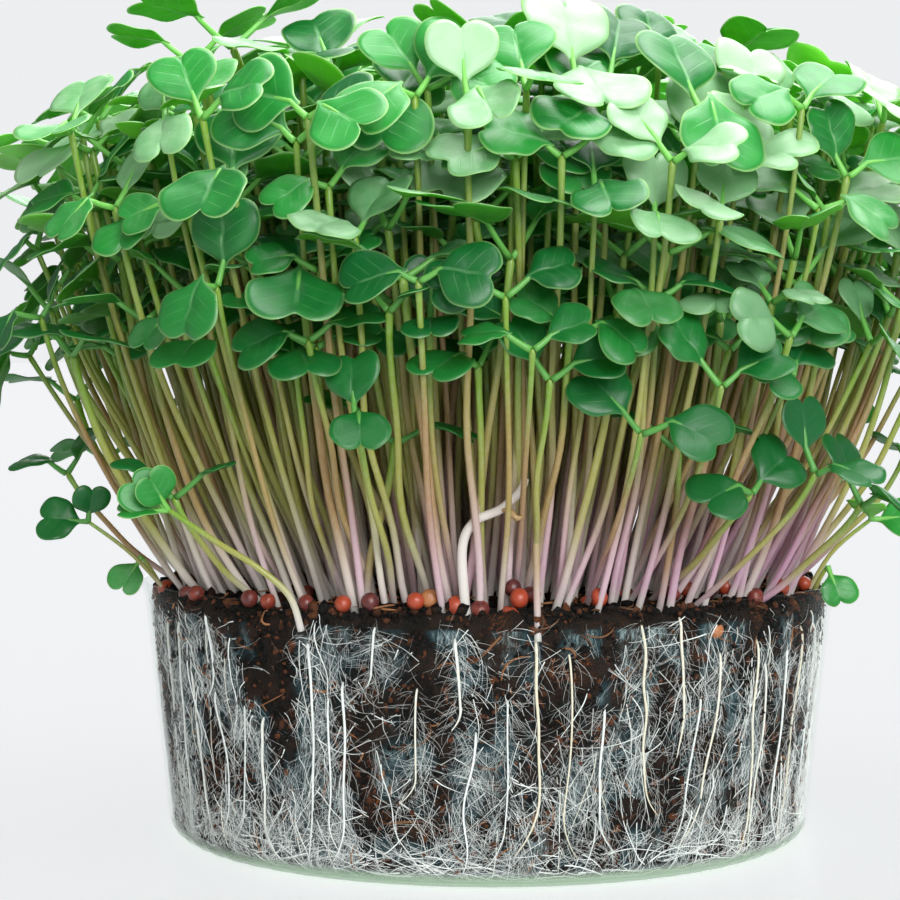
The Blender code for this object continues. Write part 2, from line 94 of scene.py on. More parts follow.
@dataclass
class MeshParts:
    """Points, faces and point values in millimetres, gathered piece by piece."""

    points: list[Array] = field(default_factory=list)
    faces: list[Array] = field(default_factory=list)
    values: dict[str, list[Array]] = field(default_factory=dict)
    count: int = 0

    def add(self, points: Array, faces: Faces, **values: Array) -> None:
        """Adds one shape.

        Args:
            points: Its points, as rows of three numbers.
            faces: Arrays of faces that count the points from 0, one array for each face size.
            values: Named values of three numbers, for all points alike or for each point.
        """
        points = np.asarray(points, dtype=float).reshape(-1, 3)
        self.points.append(points)
        self.faces += [np.asarray(block) + self.count for block in faces]
        for name, value in values.items():
            rows = np.broadcast_to(np.asarray(value, dtype=float), points.shape)
            self.values.setdefault(name, []).append(rows)
        self.count += len(points)

    def make(self, name: str, material: Material) -> Object:
        """Makes one smooth object of everything added.

        Args:
            name: The name of the object and its mesh.
            material: The finish that it gets.

        Returns:
            The object, linked to the scene.
        """
        mesh = bpy.data.meshes.new(name)
        points = (np.concatenate(self.points) * MM).astype(np.float32)
        mesh.vertices.add(len(points))
        mesh.vertices.foreach_set("co", points.ravel())
        sizes = np.concatenate([np.full(len(block), block.shape[1]) for block in self.faces])
        corners = np.concatenate([block.ravel() for block in self.faces]).astype(np.int32)
        mesh.loops.add(len(corners))
        mesh.loops.foreach_set("vertex_index", corners)
        starts = np.concatenate(([0], np.cumsum(sizes)[:-1])).astype(np.int32)
        mesh.polygons.add(len(sizes))
        mesh.polygons.foreach_set("loop_start", starts)
        mesh.update(calc_edges=True)
        mesh.shade_smooth()
        for value_name, blocks in self.values.items():
            layer = mesh.attributes.new(value_name, "FLOAT_VECTOR", "POINT")
            layer.data.foreach_set("vector", np.concatenate(blocks).astype(np.float32).ravel())
        mesh.materials.append(material)
        piece = bpy.data.objects.new(name, mesh)
        bpy.context.scene.collection.objects.link(piece)
        LOG.info("%s: %d points, %d faces", name, len(points), len(sizes))
        return piece


def install(piece: Object, nodes: Iterable[str]) -> None:
    """Puts a piece on the object.

    Args:
        piece: The finished piece.
        nodes: The CAD nodes that it stands for.
    """
    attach(piece, ROOT)
    names = list(nodes)
    if names:
        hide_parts(*names)


def unit(rows: Array) -> Array:
    """The rows scaled to length one."""
    return rows / np.maximum(np.linalg.norm(rows, axis=-1, keepdims=True), 1e-9)


def round_axis(radius: Any, angles: Array, height: Any) -> Array:
    """Points at radii, angles in radians and heights, with a last axis of three."""
    return np.stack(np.broadcast_arrays(radius * np.cos(angles), radius * np.sin(angles), height), axis=-1)


def smooth_path(knots: Sequence[Sequence[float]], steps: int) -> Array:
    """A smooth curve through knots.

    Args:
        knots: The points that it passes through.
        steps: How many points lie from one knot to the next.

    Returns:
        The curve's points, as rows.
    """
    rows = np.array([knots[0], *knots, knots[-1]], dtype=float)
    points = []
    for i in range(1, len(rows) - 2):
        a, b, c, d = rows[i - 1:i + 3]
        square, cube = 2 * a - 5 * b + 4 * c - d, 3 * b - a - 3 * c + d
        for t in np.arange(steps) / steps:
            points.append(0.5 * (2 * b + (c - a) * t + square * t**2 + cube * t**3))
    points.append(rows[-1])
    return np.array(points)


def lathe_faces(rings: int, segments: int) -> list[Array]:
    """Faces of a turned shape with a middle point at each end.

    Args:
        rings: The number of rings, lowest first.
        segments: The number of points in a ring.

    Returns:
        The wall's four-sided faces and the three-sided ones of both ends.
    """
    i, j = np.meshgrid(np.arange(rings - 1), np.arange(segments), indexing="ij")
    after = (j + 1) % segments
    wall = np.stack([
        i * segments + j, i * segments + after, (i + 1) * segments + after, (i + 1) * segments + j,
    ], axis=-1).reshape(-1, 4)
    j = np.arange(segments)
    after = (j + 1) % segments
    last = (rings - 1) * segments
    first_cap = np.stack([np.full(segments, rings * segments), after, j], axis=-1)
    last_cap = np.stack([np.full(segments, rings * segments + 1), last + j, last + after], axis=-1)
    return [wall, np.concatenate([first_cap, last_cap])]


def tubes(
    paths: Array, radii: Array, aside: Array, sides: int
) -> tuple[Array, list[Array]]:
    """Closed round tubes along many paths at once.

    Args:
        paths: The points of each path, shaped paths by points by three.
        radii: A radius for each of those points.
        aside: For each path, a direction that it never runs along.
        sides: How many sides a tube has.

    Returns:
        The points, shaped paths by rows by three, and the faces.
    """
    count, rings = paths.shape[:2]
    run = unit(np.gradient(paths, axis=1))
    second = unit(np.cross(run, aside[:, None, :]))
    first = np.cross(second, run)
    turn = np.arange(sides) * 2 * np.pi / sides
    reach = radii[:, :, None, None]
    skin = paths[:, :, None, :] + reach * (
        first[:, :, None, :] * np.cos(turn)[None, None, :, None]
        + second[:, :, None, :] * np.sin(turn)[None, None, :, None]
    )
    ends = paths[:, :1], paths[:, -1:]
    points = np.concatenate([skin.reshape(count, rings * sides, 3), *ends], axis=1)
    shift = (np.arange(count) * points.shape[1])[:, None, None]
    blocks = lathe_faces(rings, sides)
    return points, [(block[None] + shift).reshape(-1, block.shape[1]) for block in blocks]


def tube_values(columns: Sequence[Array], rings: int, sides: int) -> Array:
    """Three values for each point of tubes made by tubes().

    Args:
        columns: Three arrays, shaped paths by rings.
        rings: The number of rings of a tube.
        sides: The number of its sides.

    Returns:
        The values, a row of three for each point, in the order of the points.
    """
    value = np.stack(columns, axis=-1)
    count = value.shape[0]
    skin = np.repeat(value, sides, axis=1).reshape(count, rings * sides, 3)
    return np.concatenate([skin, value[:, :1], value[:, -1:]], axis=1).reshape(-1, 3)


# Node trees

class NodeGraph:
    """A material's node tree, with short calls that add and join nodes."""

    def __init__(self, name: str) -> None:
        """Starts an empty tree in a new material of that name."""
        self.material = bpy.data.materials.new(name)
        self.material.use_nodes = True
        self.tree = self.material.node_tree
        self.tree.nodes.clear()

    def feed(self, socket: Socket, value: Any) -> None:
        """Joins another node's output to a socket, or sets its number or colour."""
        if isinstance(value, Socket):
            self.tree.links.new(value, socket)
        elif isinstance(value, tuple) and len(value) == 3 and socket.type == "RGBA":
            socket.default_value = (*value, 1.0)
        else:
            socket.default_value = value

    def add(self, kind: str, inputs: dict[Any, Any] | None = None, **settings: Any) -> bpy.types.Node:
        """Adds a node.

        Args:
            kind: Blender's name for the kind of node.
            inputs: Values or outputs for its sockets, by name or number.
            settings: Values for its own properties.

        Returns:
            The node.
        """
        node = self.tree.nodes.new(kind)
        for key, value in settings.items():
            setattr(node, key, value)
        for key, value in (inputs or {}).items():
            self.feed(node.inputs[key], value)
        return node

    def math(self, operation: str, first: Any, second: Any = 0.0) -> Socket:
        """The result of a sum on one or two numbers."""
        return self.add("ShaderNodeMath", {0: first, 1: second}, operation=operation).outputs[0]

    def times(self, first: Any, second: Any) -> Socket:
        """The product of two numbers."""
        return self.math("MULTIPLY", first, second)

    def plus(self, first: Any, second: Any) -> Socket:
        """The sum of two numbers."""
        return self.math("ADD", first, second)

    def swayed(self, number: Any, grain: Any, strength: float) -> Socket:
        """A number that noise from 0 to 1 moves up and down by half a strength."""
        return self.plus(number, self.times(self.math("SUBTRACT", grain, 0.5), strength))

    def between(
        self, value: Any, low: float, high: float, start: float = 0.0, end: float = 1.0
    ) -> Socket:
        """A number that goes smoothly from start to end as value goes from low to high."""
        inputs = {"Value": value, "From Min": low, "From Max": high, "To Min": start, "To Max": end}
        return self.add("ShaderNodeMapRange", inputs, interpolation_type="SMOOTHSTEP").outputs[0]

    def blend(self, share: Any, first: Any, second: Any) -> Socket:
        """Two colours mixed by a share."""
        node = self.add("ShaderNodeMix", data_type="RGBA")
        for number, value in ((0, share), (6, first), (7, second)):
            self.feed(node.inputs[number], value)
        return node.outputs[2]

    def value(self, name: str) -> tuple[Socket, ...]:
        """The three numbers of a mesh value."""
        source = self.add("ShaderNodeAttribute", attribute_name=name, attribute_type="GEOMETRY")
        split = self.add("ShaderNodeSeparateXYZ", {0: source.outputs["Vector"]})
        return tuple(split.outputs)

    def place(self) -> Socket:
        """The place on the object, in metres."""
        return self.add("ShaderNodeTexCoord").outputs["Object"]

    def drawn_out(self, where: Any, share: float) -> Socket:
        """Places with their heights shrunk to a share, which draws noise out upwards."""
        return self.add("ShaderNodeMapping", {"Vector": where, "Scale": (1.0, 1.0, share)}).outputs[0]

    def grain(
        self, where: Any, size: float, detail: float = 3.0, rough: float = 0.55
    ) -> Socket:
        """Noise from 0 to 1 with lumps of about a size in millimetres."""
        inputs = {"Vector": where, "Scale": 1 / (size * MM), "Detail": detail, "Roughness": rough}
        return self.add("ShaderNodeTexNoise", inputs).outputs[0]

    def bump(self, height: Any, strength: float, depth: float) -> Socket:
        """A normal for a height from 0 to 1 that stands for a depth in millimetres."""
        inputs = {"Height": height, "Strength": strength, "Distance": depth * MM}
        return self.add("ShaderNodeBump", inputs).outputs[0]

    def principled(self, **inputs: Any) -> Socket:
        """A Principled shader, its sockets named with low lines for spaces."""
        named = {key.replace("_", " "): value for key, value in inputs.items()}
        return self.add("ShaderNodeBsdfPrincipled", named).outputs[0]

    def translucent(self, colour: Any, **inputs: Any) -> Socket:
        """A shader that lets light through."""
        return self.add("ShaderNodeBsdfTranslucent", {"Color": colour, **inputs}).outputs[0]

    def mix_shaders(self, share: Any, first: Any, second: Any) -> Socket:
        """Two shaders mixed by a share."""
        return self.add("ShaderNodeMixShader", {0: share, 1: first, 2: second}).outputs[0]

    def finish(self, surface: Socket) -> Material:
        """Ends the tree in a surface and returns the material."""
        self.add("ShaderNodeOutputMaterial", {"Surface": surface})
        return self.material


# Finishes

@dataclass(frozen=True)
class LeafFinish:
    """A waxy seed leaf: blue-green on top, turned pale by a painted whitish sheen where its tone is high and
    darkened by painted shade deep in the canopy; bright yellow-green where light comes through.
    """

    top_deep: Colour = (0.002, 0.105, 0.024)
    top_fresh: Colour = (0.026, 0.320, 0.048)
    # Partly the leaf's own pale tone, partly a painted whitish sheen on high, well-lit leaves.
    top_pale_sheen: Colour = (0.400, 0.660, 0.385)
    under_deep: Colour = (0.020, 0.230, 0.012)
    under_fresh: Colour = (0.190, 0.640, 0.035)
    rim: Colour = (0.450, 0.760, 0.280)
    vein: Colour = (0.300, 0.640, 0.280)
    through: Colour = (0.220, 0.720, 0.012)
    roughness: float = 0.42

    def build(self) -> Material:
        """The material of the seed leaves and their stalks."""
        graph = NodeGraph("seed_leaf")
        along, across, margin = graph.value("blade")
        # tone carries random tone and painted light from above and from the right; depth is the share of
        # painted shade.
        side, tone, depth = graph.value("tint")
        where = graph.place()
        mottle = graph.grain(where, 2.6)
        fine = graph.grain(where, 0.22, 2.0)
        tone = graph.swayed(tone, mottle, 0.45)
        top = graph.blend(graph.between(tone, 0.0, 0.5), self.top_deep, self.top_fresh)
        top = graph.blend(graph.between(tone, 0.45, 1.0), top, self.top_pale_sheen)
        under = graph.blend(graph.between(tone, 0.0, 0.8), self.under_deep, self.under_fresh)
        colour = graph.blend(graph.between(side, 0.3, 0.7), under, top)
        rib = self.rib(graph, along, across, margin)
        colour = graph.blend(graph.times(rib, 0.35), colour, self.vein)
        colour = graph.blend(graph.between(margin, 0.93, 1.0, 0.0, 0.75), colour, self.rim)
        # Painted shade: leaves deep below the canopy's top are darkened towards top_deep.
        colour = graph.blend(graph.times(depth, 0.85), colour, self.top_deep)
        height = graph.math("SUBTRACT", graph.times(fine, 0.5), graph.times(rib, 0.6))
        normal = graph.bump(height, 0.35, 0.12)
        skin = graph.principled(
            Base_Color=colour, Roughness=self.roughness, Normal=normal, Specular_IOR_Level=0.6,
        )
        glow = graph.blend(graph.times(rib, 0.4), self.through, self.rim)
        through = graph.translucent(glow, Normal=normal)
        return graph.finish(graph.mix_shaders(0.30, skin, through))

    def rib(self, graph: NodeGraph, along: Any, across: Any, margin: Any) -> Socket:
        """How much a place on the blade is rib or side vein.

        Args:
            graph: The tree that the nodes go into.
            along: The distance from the neck, as a share of the length.
            across: The distance from the rib, as a share of the width.
            margin: The way from the middle of the blade to its edge.

        Returns:
            A number from 0 to 1.
        """
        aside = graph.math("ABSOLUTE", across)
        middle = graph.between(aside, 0.012, 0.035, 1.0, 0.0)
        middle = graph.times(middle, graph.between(along, 0.55, 0.80, 1.0, 0.0))
        slant = graph.math("SUBTRACT", along, graph.times(aside, 0.75))
        wave = graph.math("PINGPONG", graph.times(slant, 4.6), 0.5)
        side = graph.between(wave, 0.0, 0.075, 0.7, 0.0)
        side = graph.times(side, graph.between(margin, 0.55, 0.88, 1.0, 0.0))
        side = graph.times(side, graph.between(aside, 0.02, 0.08))
        return graph.math("MAXIMUM", middle, side)


@dataclass(frozen=True)
class StemFinish:
    """A juicy stem: white or lilac at the foot, tan higher up and yellow-green under the leaves."""

    foot: Colour = (0.860, 0.800, 0.760)
    blush: Colour = (0.740, 0.400, 0.620)
    middle: Colour = (0.480, 0.500, 0.110)
    tan: Colour = (0.500, 0.330, 0.130)
    top: Colour = (0.280, 0.500, 0.045)
    white: Colour = (0.900, 0.890, 0.840)

    def build(self) -> Material:
        """The material of the stems."""
        graph = NodeGraph("stem")
        along, tone, blush = graph.value("stalk")
        where = graph.place()
        streak = graph.drawn_out(where, 0.12)
        lines = graph.grain(streak, 0.35, 2.0)
        middle = graph.blend(graph.between(tone, 0.45, 0.9), self.middle, self.tan)
        colour = graph.blend(graph.between(along, 0.04, 0.36), self.foot, middle)
        colour = graph.blend(graph.between(along, 0.55, 0.95), colour, self.top)
        low, high = graph.between(along, 0.02, 0.10), graph.between(along, 0.16, 0.50, 1.0, 0.10)
        flush = graph.times(low, high)
        flush = graph.times(flush, blush)
        colour = graph.blend(graph.times(flush, 0.8), colour, self.blush)
        colour = graph.blend(graph.between(along, 0.0, 0.07, 0.8, 0.0), colour, self.white)
        colour = graph.blend(graph.between(lines, 0.35, 0.75, 0.0, 0.14), colour, self.white)
        skin = graph.principled(
            Base_Color=colour, Roughness=0.28, Specular_IOR_Level=0.55,
            Normal=graph.bump(lines, 0.25, 0.08), Coat_Weight=0.25, Coat_Roughness=0.15,
        )
        through = graph.translucent(colour)
        return graph.finish(graph.mix_shaders(0.45, skin, through))


@dataclass(frozen=True)
class MixFinish:
    """Damp peat and bark crumbs: near black with red-brown and tan flecks."""

    dark: Colour = (0.002, 0.0015, 0.001)
    brown: Colour = (0.016, 0.007, 0.0035)
    rust: Colour = (0.300, 0.085, 0.020)
    mist: Colour = (0.200, 0.260, 0.270)
    teal: Colour = (0.012, 0.034, 0.042)

    def build(self, name: str) -> Material:
        """The material of the mix or its crumbs.

        Args:
            name: The name that the material gets.

        Returns:
            The material.
        """
        graph = NodeGraph(name)
        tone, rust, fuzz = graph.value("crumb")
        where = graph.place()
        lumps = graph.grain(where, 1.4, 4.0, 0.65)
        fine = graph.grain(where, 0.30, 3.0, 0.6)
        share = graph.plus(graph.times(lumps, 0.7), graph.times(tone, 0.5))
        colour = graph.blend(graph.between(share, 0.40, 0.85), self.dark, self.brown)
        fleck = graph.times(graph.between(fine, 0.52, 0.72), graph.between(rust, 0.60, 1.0))
        colour = graph.blend(fleck, colour, self.rust)
        drawn = graph.drawn_out(where, 0.16)
        streak = graph.between(graph.grain(drawn, 0.28, 3.0, 0.6), 0.36, 0.68)
        cloud = graph.between(graph.grain(where, 2.2, 2.0), 0.35, 0.62)
        damp = graph.times(graph.between(fuzz, 0.05, 0.60), graph.between(tone, 0.75, 0.35))
        colour = graph.blend(damp, colour, self.teal)
        veil = graph.times(graph.between(fuzz, 0.40, 1.0), graph.times(streak, cloud))
        colour = graph.blend(veil, colour, self.mist)
        height = graph.plus(graph.times(lumps, 0.6), graph.times(fine, 0.4))
        skin = graph.principled(
            Base_Color=colour, Roughness=graph.between(fine, 0.3, 0.8, 0.55, 0.95),
            Normal=graph.bump(height, 0.9, 0.6), Specular_IOR_Level=0.12,
        )
        return graph.finish(skin)


@dataclass(frozen=True)
class FibreFinish:
    """Red-brown coir and bark strands."""

    dark: Colour = (0.050, 0.020, 0.009)
    light: Colour = (0.300, 0.120, 0.040)

    def build(self) -> Material:
        """The material of the strands in the mix."""
        graph = NodeGraph("strands")
        tone, _, _ = graph.value("crumb")
        fine = graph.grain(graph.place(), 0.4, 2.0)
        share = graph.swayed(tone, fine, 0.8)
        colour = graph.blend(graph.between(share, 0.1, 0.9), self.dark, self.light)
        skin = graph.principled(Base_Color=colour, Roughness=0.7, Normal=graph.bump(fine, 0.5, 0.1))
        return graph.finish(skin)


@dataclass(frozen=True)
class RootFinish:
    """Wet cream-white roots."""

    white: Colour = (0.950, 0.960, 0.950)
    cream: Colour = (0.880, 0.790, 0.600)
    through: float = 0.2

    def build(self) -> Material:
        """The material of the roots."""
        graph = NodeGraph("root_white")
        tone, _, _ = graph.value("root")
        fine = graph.grain(graph.place(), 0.8, 2.0)
        share = graph.swayed(tone, fine, 0.5)
        colour = graph.blend(graph.between(share, 0.45, 1.0), self.white, self.cream)
        skin = graph.principled(
            Base_Color=colour, Roughness=0.35, Specular_IOR_Level=0.5, Normal=graph.bump(fine, 0.3, 0.08),
        )
        glow = graph.translucent(colour)
        return graph.finish(graph.mix_shaders(self.through, skin, glow))


@dataclass(frozen=True)
class SeedFinish:
    """A shed seed coat: red-brown to dark plum, with a soft gloss and a pitted skin."""

    red: Colour = (0.340, 0.050, 0.020)
    plum: Colour = (0.050, 0.014, 0.018)
    tan: Colour = (0.420, 0.170, 0.060)

    def build(self) -> Material:
        """The material of the seed coats."""
        graph = NodeGraph("seed_coat")
        tone, tan, _ = graph.value("coat")
        where = graph.place()
        pits = graph.add("ShaderNodeTexVoronoi", {"Vector": where, "Scale": 4200.0}).outputs["Distance"]
        patch = graph.grain(where, 1.1)
        share = graph.swayed(tone, patch, 0.7)
        colour = graph.blend(graph.between(share, 0.1, 0.9), self.plum, self.red)
        colour = graph.blend(graph.times(tan, 0.8), colour, self.tan)
        skin = graph.principled(
            Base_Color=colour, Roughness=0.38, Specular_IOR_Level=0.5, Normal=graph.bump(pits, 0.35, 0.08),
        )
        return graph.finish(skin)


@dataclass(frozen=True)
class ClearFinish:
    """Thin clear tub plastic with a little mist inside, a painted green reflection of the leaves at the
    heel, and a painted pale sheen where it is seen edge-on.
    """

    tint: Colour = (0.985, 0.996, 0.990)
    mist: Colour = (0.800, 0.850, 0.840)
    # Painted reflection: the green of the leaves seen in the curved heel.
    heel_reflection: Colour = (0.470, 0.640, 0.460)
    heel_height: float = 3.0

    def build(self) -> Material:
        """The material of the tub."""
        graph = NodeGraph("clear_tub")
        where = graph.place()
        height = graph.add("ShaderNodeSeparateXYZ", {0: where}).outputs[2]
        # Painted reflection: near the base an opaque skin in the green heel colour is mixed into the clear
        # plastic.
        low = graph.between(height, 0.3 * MM, self.heel_height * MM, 0.62, 0.0)
        cloud = graph.grain(where, 9.0, 3.0)
        haze = graph.between(cloud, 0.50, 0.85, 0.0, 0.004)
        body = graph.blend(graph.between(low, 0.0, 0.3), self.mist, self.heel_reflection)
        skin = graph.principled(Base_Color=body, Roughness=0.06, Specular_IOR_Level=0.5)
        clear = graph.add("ShaderNodeBsdfTransparent", {"Color": self.tint}).outputs[0]
        # At grazing angles part of an opaque skin is mixed in: its gloss is real, while its pale body colour
        # there is a painted sheen.
        facing = graph.add("ShaderNodeLayerWeight").outputs["Facing"]
        shine = graph.plus(graph.times(graph.math("POWER", facing, 8.0), 0.30), 0.002)
        share = graph.plus(shine, graph.plus(haze, low))
        share = graph.math("MINIMUM", share, 1.0)
        return graph.finish(graph.mix_shaders(share, clear, skin))


@dataclass(frozen=True)
class FloorFinish:
    """A smooth white surface that mirrors faintly."""

    white: Colour = (0.600, 0.606, 0.617)
    glow: Colour = (0.850, 0.858, 0.873)
    glow_strength: float = 0.76

    def build(self) -> Material:
        """The material of the floor, which glows a little so that it is as pale as the room."""
        graph = NodeGraph("pale_floor")
        return graph.finish(graph.principled(
            Base_Color=self.white, Roughness=0.35, Specular_IOR_Level=0.05,
            Emission_Color=self.glow, Emission_Strength=self.glow_strength,
        ))


# Sizes of the tub and the mix, as in the CAD model

@dataclass(frozen=True)
class TubSizes:
    """The tub's own sizes in millimetres."""

    height: float = 40.0
    base_radius: float = 46.8
    heel_radius: float = 3.5
    wall_top: float = 38.2
    wall_top_radius: float = 54.0
    rim_radius: float = 54.7
    wall: float = 0.45
    ribs: int = 64
    rib_depth: float = 0.3
    least_reach: float = 0.05

    def wall_radius(self, heights: Any, insets: Any) -> Any:
        """Radius of the tub's outer face, less an inset, at one height or several."""
        share = (heights - self.heel_radius) / (self.wall_top - self.heel_radius)
        low = self.base_radius + self.heel_radius
        straight = low + (self.wall_top_radius - low) * share - insets
        reach = np.maximum(self.heel_radius - insets, self.least_reach)
        drop = np.clip(self.heel_radius - heights, 0, reach)
        curved = self.base_radius + np.sqrt(np.maximum(reach**2 - drop**2, 0))
        return np.where(heights < self.heel_radius, curved, straight)

    def on_wall(self, angles: Array, heights: Array, insets: Array) -> Array:
        """Places inside the wall.

        Args:
            angles: Angles round the tub in radians.
            heights: Heights above the base.
            insets: Distances in from the outer face.

        Returns:
            The points, with a last axis of three.
        """
        floor = self.heel_radius - np.maximum(self.heel_radius - insets, self.least_reach)
        return round_axis(self.wall_radius(heights, insets), angles, np.maximum(heights, floor))


TUB = TubSizes()
SOIL_TOP = 38.6
SOIL_TOP_EDGE = 50.2
COARSE_LUMPS = (9.0, 0.9)
FINE_LUMPS = (3.5, 0.5)
EDGE_START = 42.0
EDGE_FALL = 1.6
EDGE_HEAP = 1.7


def soil_height(x: float, y: float) -> float:
    """Height of the mix's lumpy top, which falls a little towards the wall."""
    lumps = 0.0
    for layer, (spacing, height) in enumerate((COARSE_LUMPS, FINE_LUMPS)):
        lumps += height * noise.noise(Vector((x / spacing, y / spacing, 0.5 + 4 * layer)))
    edge = max(0.0, (math.hypot(x, y) - EDGE_START) / (SOIL_TOP_EDGE - EDGE_START))
    return SOIL_TOP + lumps - EDGE_FALL * edge


def top_height(x: float, y: float) -> float:
    """Height of the mix's top as it is seen, heaped up again where it meets the wall."""
    share = min(1.0, max(0.0, (math.hypot(x, y) - EDGE_START) / (SOIL_TOP_EDGE - EDGE_START)))
    return soil_height(x, y) + EDGE_HEAP * share


def on_circle(radius: float, degrees: float, height: float) -> Vector:
    """A point at a radius, an angle in degrees and a height."""
    angle = math.radians(degrees)
    return Vector((radius * math.cos(angle), radius * math.sin(angle), height))


# Placement of the seedlings, the same rule as in the CAD model

SITE_SHIFT = 1.0
SITE_TURN = 0.2
SITE_RINGS = ((47.0, 19), (37.0, 14), (27.0, 10), (17.0, 6), (6.5, 3))
SEED_RADIUS = 1.35
SEED_RISE = 0.3
SEED_TRIES = 60
SEED_BAND = (36.0, 48.5)
SEED_GAP = 3.4
CROWN_LENGTH = 3.0
CROWN_RISE = 0.5

STEM_STEPS = (1 / 3, 2 / 3, 1.0)
STEM_RADII = (0.85, 0.82, 0.78, 0.75)
STEM_BOW = 2.5
SIDE_BOW = 1.2
LOOSE_BOW = 3.0
ROOF_RISE = 1.3
ROOF_HALF = 0.5
PETIOLE = 6.0
PETIOLE_SPREAD = (0.8, 1.25)
PETIOLE_LEAN = 35.0
LEAN_WITH_RISE = 0.4
NECK_HALF = 0.55
BLADE_THICKNESS = 0.6
BLADE_SHARE = 0.80
HALF_OUTLINE = ((0.20, 0.30), (0.62, 0.50), (0.97, 0.33))
NOTCH = 0.84
BLADE_MIDDLE = 0.5
DROOP = (0.02, 0.16)
CUP = (-0.05, 0.2)
SKEW = 18.0
ROLL = 16.0

CANOPY_TOP = 119.0
CANOPY_DROP = 16.0
CANOPY_RADIUS = 72.0
LEAVES_ABOVE = 6.0
FORK_REACH = 68.0
BASE_SHARE = 0.68
MIDDLE_FORK = 90.0
SHARE_FALL = 0.006
SPREAD = 1.47
SPREAD_SHARE = (0.9, 1.1)
FORK_SHIFT = 5.0
RISES = (-15.0, 40.0)
WIDTHS = (9.5, 13.5)
UPPER_DEPTH = (0.0, 14.0)
LOWER_DEPTH = (14.0, 42.0)
CLEARANCE = 0.7
MOST_TRIES = 300
LOOSEST = 12.0
LOOSE_TURN = 30.0
LOOSE_SHRINK = 0.3
KNEE_GAP = 2.6


def dome_fall(reach: float) -> float:
    """How far the canopy's dome has fallen at a distance from the middle."""
    return CANOPY_DROP * (reach / CANOPY_RADIUS) ** 2


class Sprig(NamedTuple):
    """A seedling's fork in millimetres, its first leaf's heading, both rises and the leaf width."""

    x: float
    y: float
    z: float
    turn: float
    rise_a: float
    rise_b: float
    width: float


# The seedlings that give the front of the crop its outline, those with the largest leaves first
FRONT_SPRIGS = (
    Sprig(-15, -45, 103, 210, 40, 25, 14),
    Sprig(3, -52, 98, 60, 20, -20, 14),
    Sprig(-1, -58, 94, 150, 25, -10, 13),
    Sprig(24, -58, 88, 200, 15, -15, 13),
    Sprig(-25, -58, 83, 270, -35, 20, 13),
    Sprig(43, -45, 84, 30, 35, 10, 13),
    Sprig(46, -38, 81, 250, -40, -30, 12),
    Sprig(-36, -46, 95, 165, 40, 10, 13),
    Sprig(3, -61, 87, 45, 40, 10, 13),
    Sprig(54, -30, 95, 170, 15, 15, 11),
    Sprig(0, -48, 110, 20, 35, 55, 12),
    Sprig(-17, -52, 90, 190, -5, 20, 12),
    Sprig(16, -55, 91, 160, 15, 20, 11),
    Sprig(-13, -60, 91, 120, 40, 0, 11),
    Sprig(-38, -38, 107, 180, 5, 30, 13),
    Sprig(39, -38, 98, 150, 60, 45, 11),
    Sprig(-37, -30, 119, 20, 25, 10, 12),
    Sprig(-44, -20, 118, 180, 8, 30, 10),
    Sprig(-5, -40, 115, 170, 30, 30, 10),
    Sprig(-8, -50, 105, 110, 20, -5, 11),
    Sprig(-11, -64, 84, 180, 10, 5, 11),
    Sprig(-28, -50, 91, 170, 20, 15, 11),
    Sprig(-37, -51, 87, 120, 35, 10, 11),
    Sprig(-45, -45, 87, 200, 20, 15, 11),
    Sprig(-53, -34, 88, 180, 15, 10, 13),
    Sprig(-26, -48, 103, 180, 5, 20, 12),
    Sprig(21, -48, 97, 130, 40, 15, 11),
    Sprig(32, -54, 83, 60, 30, -10, 12),
    Sprig(19, -60, 81, 110, 35, -30, 11),
    Sprig(40, -46, 88, 110, 50, 15, 11),
    Sprig(51, -20, 105, 180, 15, 25, 12),
    Sprig(17, -30, 109, 10, 25, 20, 12),
    Sprig(10, -38, 105, 90, 30, 10, 12),
    Sprig(-62, -10, 100, 20, 15, 10, 12),
    Sprig(-53, -26, 102, 30, 30, 5, 12),
    Sprig(-48, -40, 80, 200, 0, 15, 12),
    Sprig(-22, -15, 117, 170, 20, 20, 12),
    Sprig(-44, -44, 54, 170, 25, 15, 6),
    Sprig(-13, -50, 62, 350, -10, 20, 9),
    Sprig(23, -52, 60, 350, -5, 20, 9),
)


@dataclass
class LeafFrame:
    """Where one leaf sits and how it bends."""

    start: Vector
    origin: Vector
    along: Vector
    across: Vector
    normal: Vector
    length: float
    width: float
    droop: float
    cup: float


class Shape:
    """Plain points and faces of a seedling, for telling whether it touches another."""

    def __init__(self) -> None:
        """Starts with nothing."""
        self.points: list[Vector] = []
        self.faces: list[tuple[int, ...]] = []

    def add(self, points: Sequence[Vector]) -> list[int]:
        """Adds points and returns their numbers."""
        first = len(self.points)
        self.points += points
        return list(range(first, len(self.points)))

    def band(self, lower: Sequence[int], upper: Sequence[int]) -> None:
        """Joins two rings of the same length by a strip of faces."""
        count = len(lower)
        for i in range(count):
            j = (i + 1) % count
            self.faces.append((lower[i], lower[j], upper[j], upper[i]))


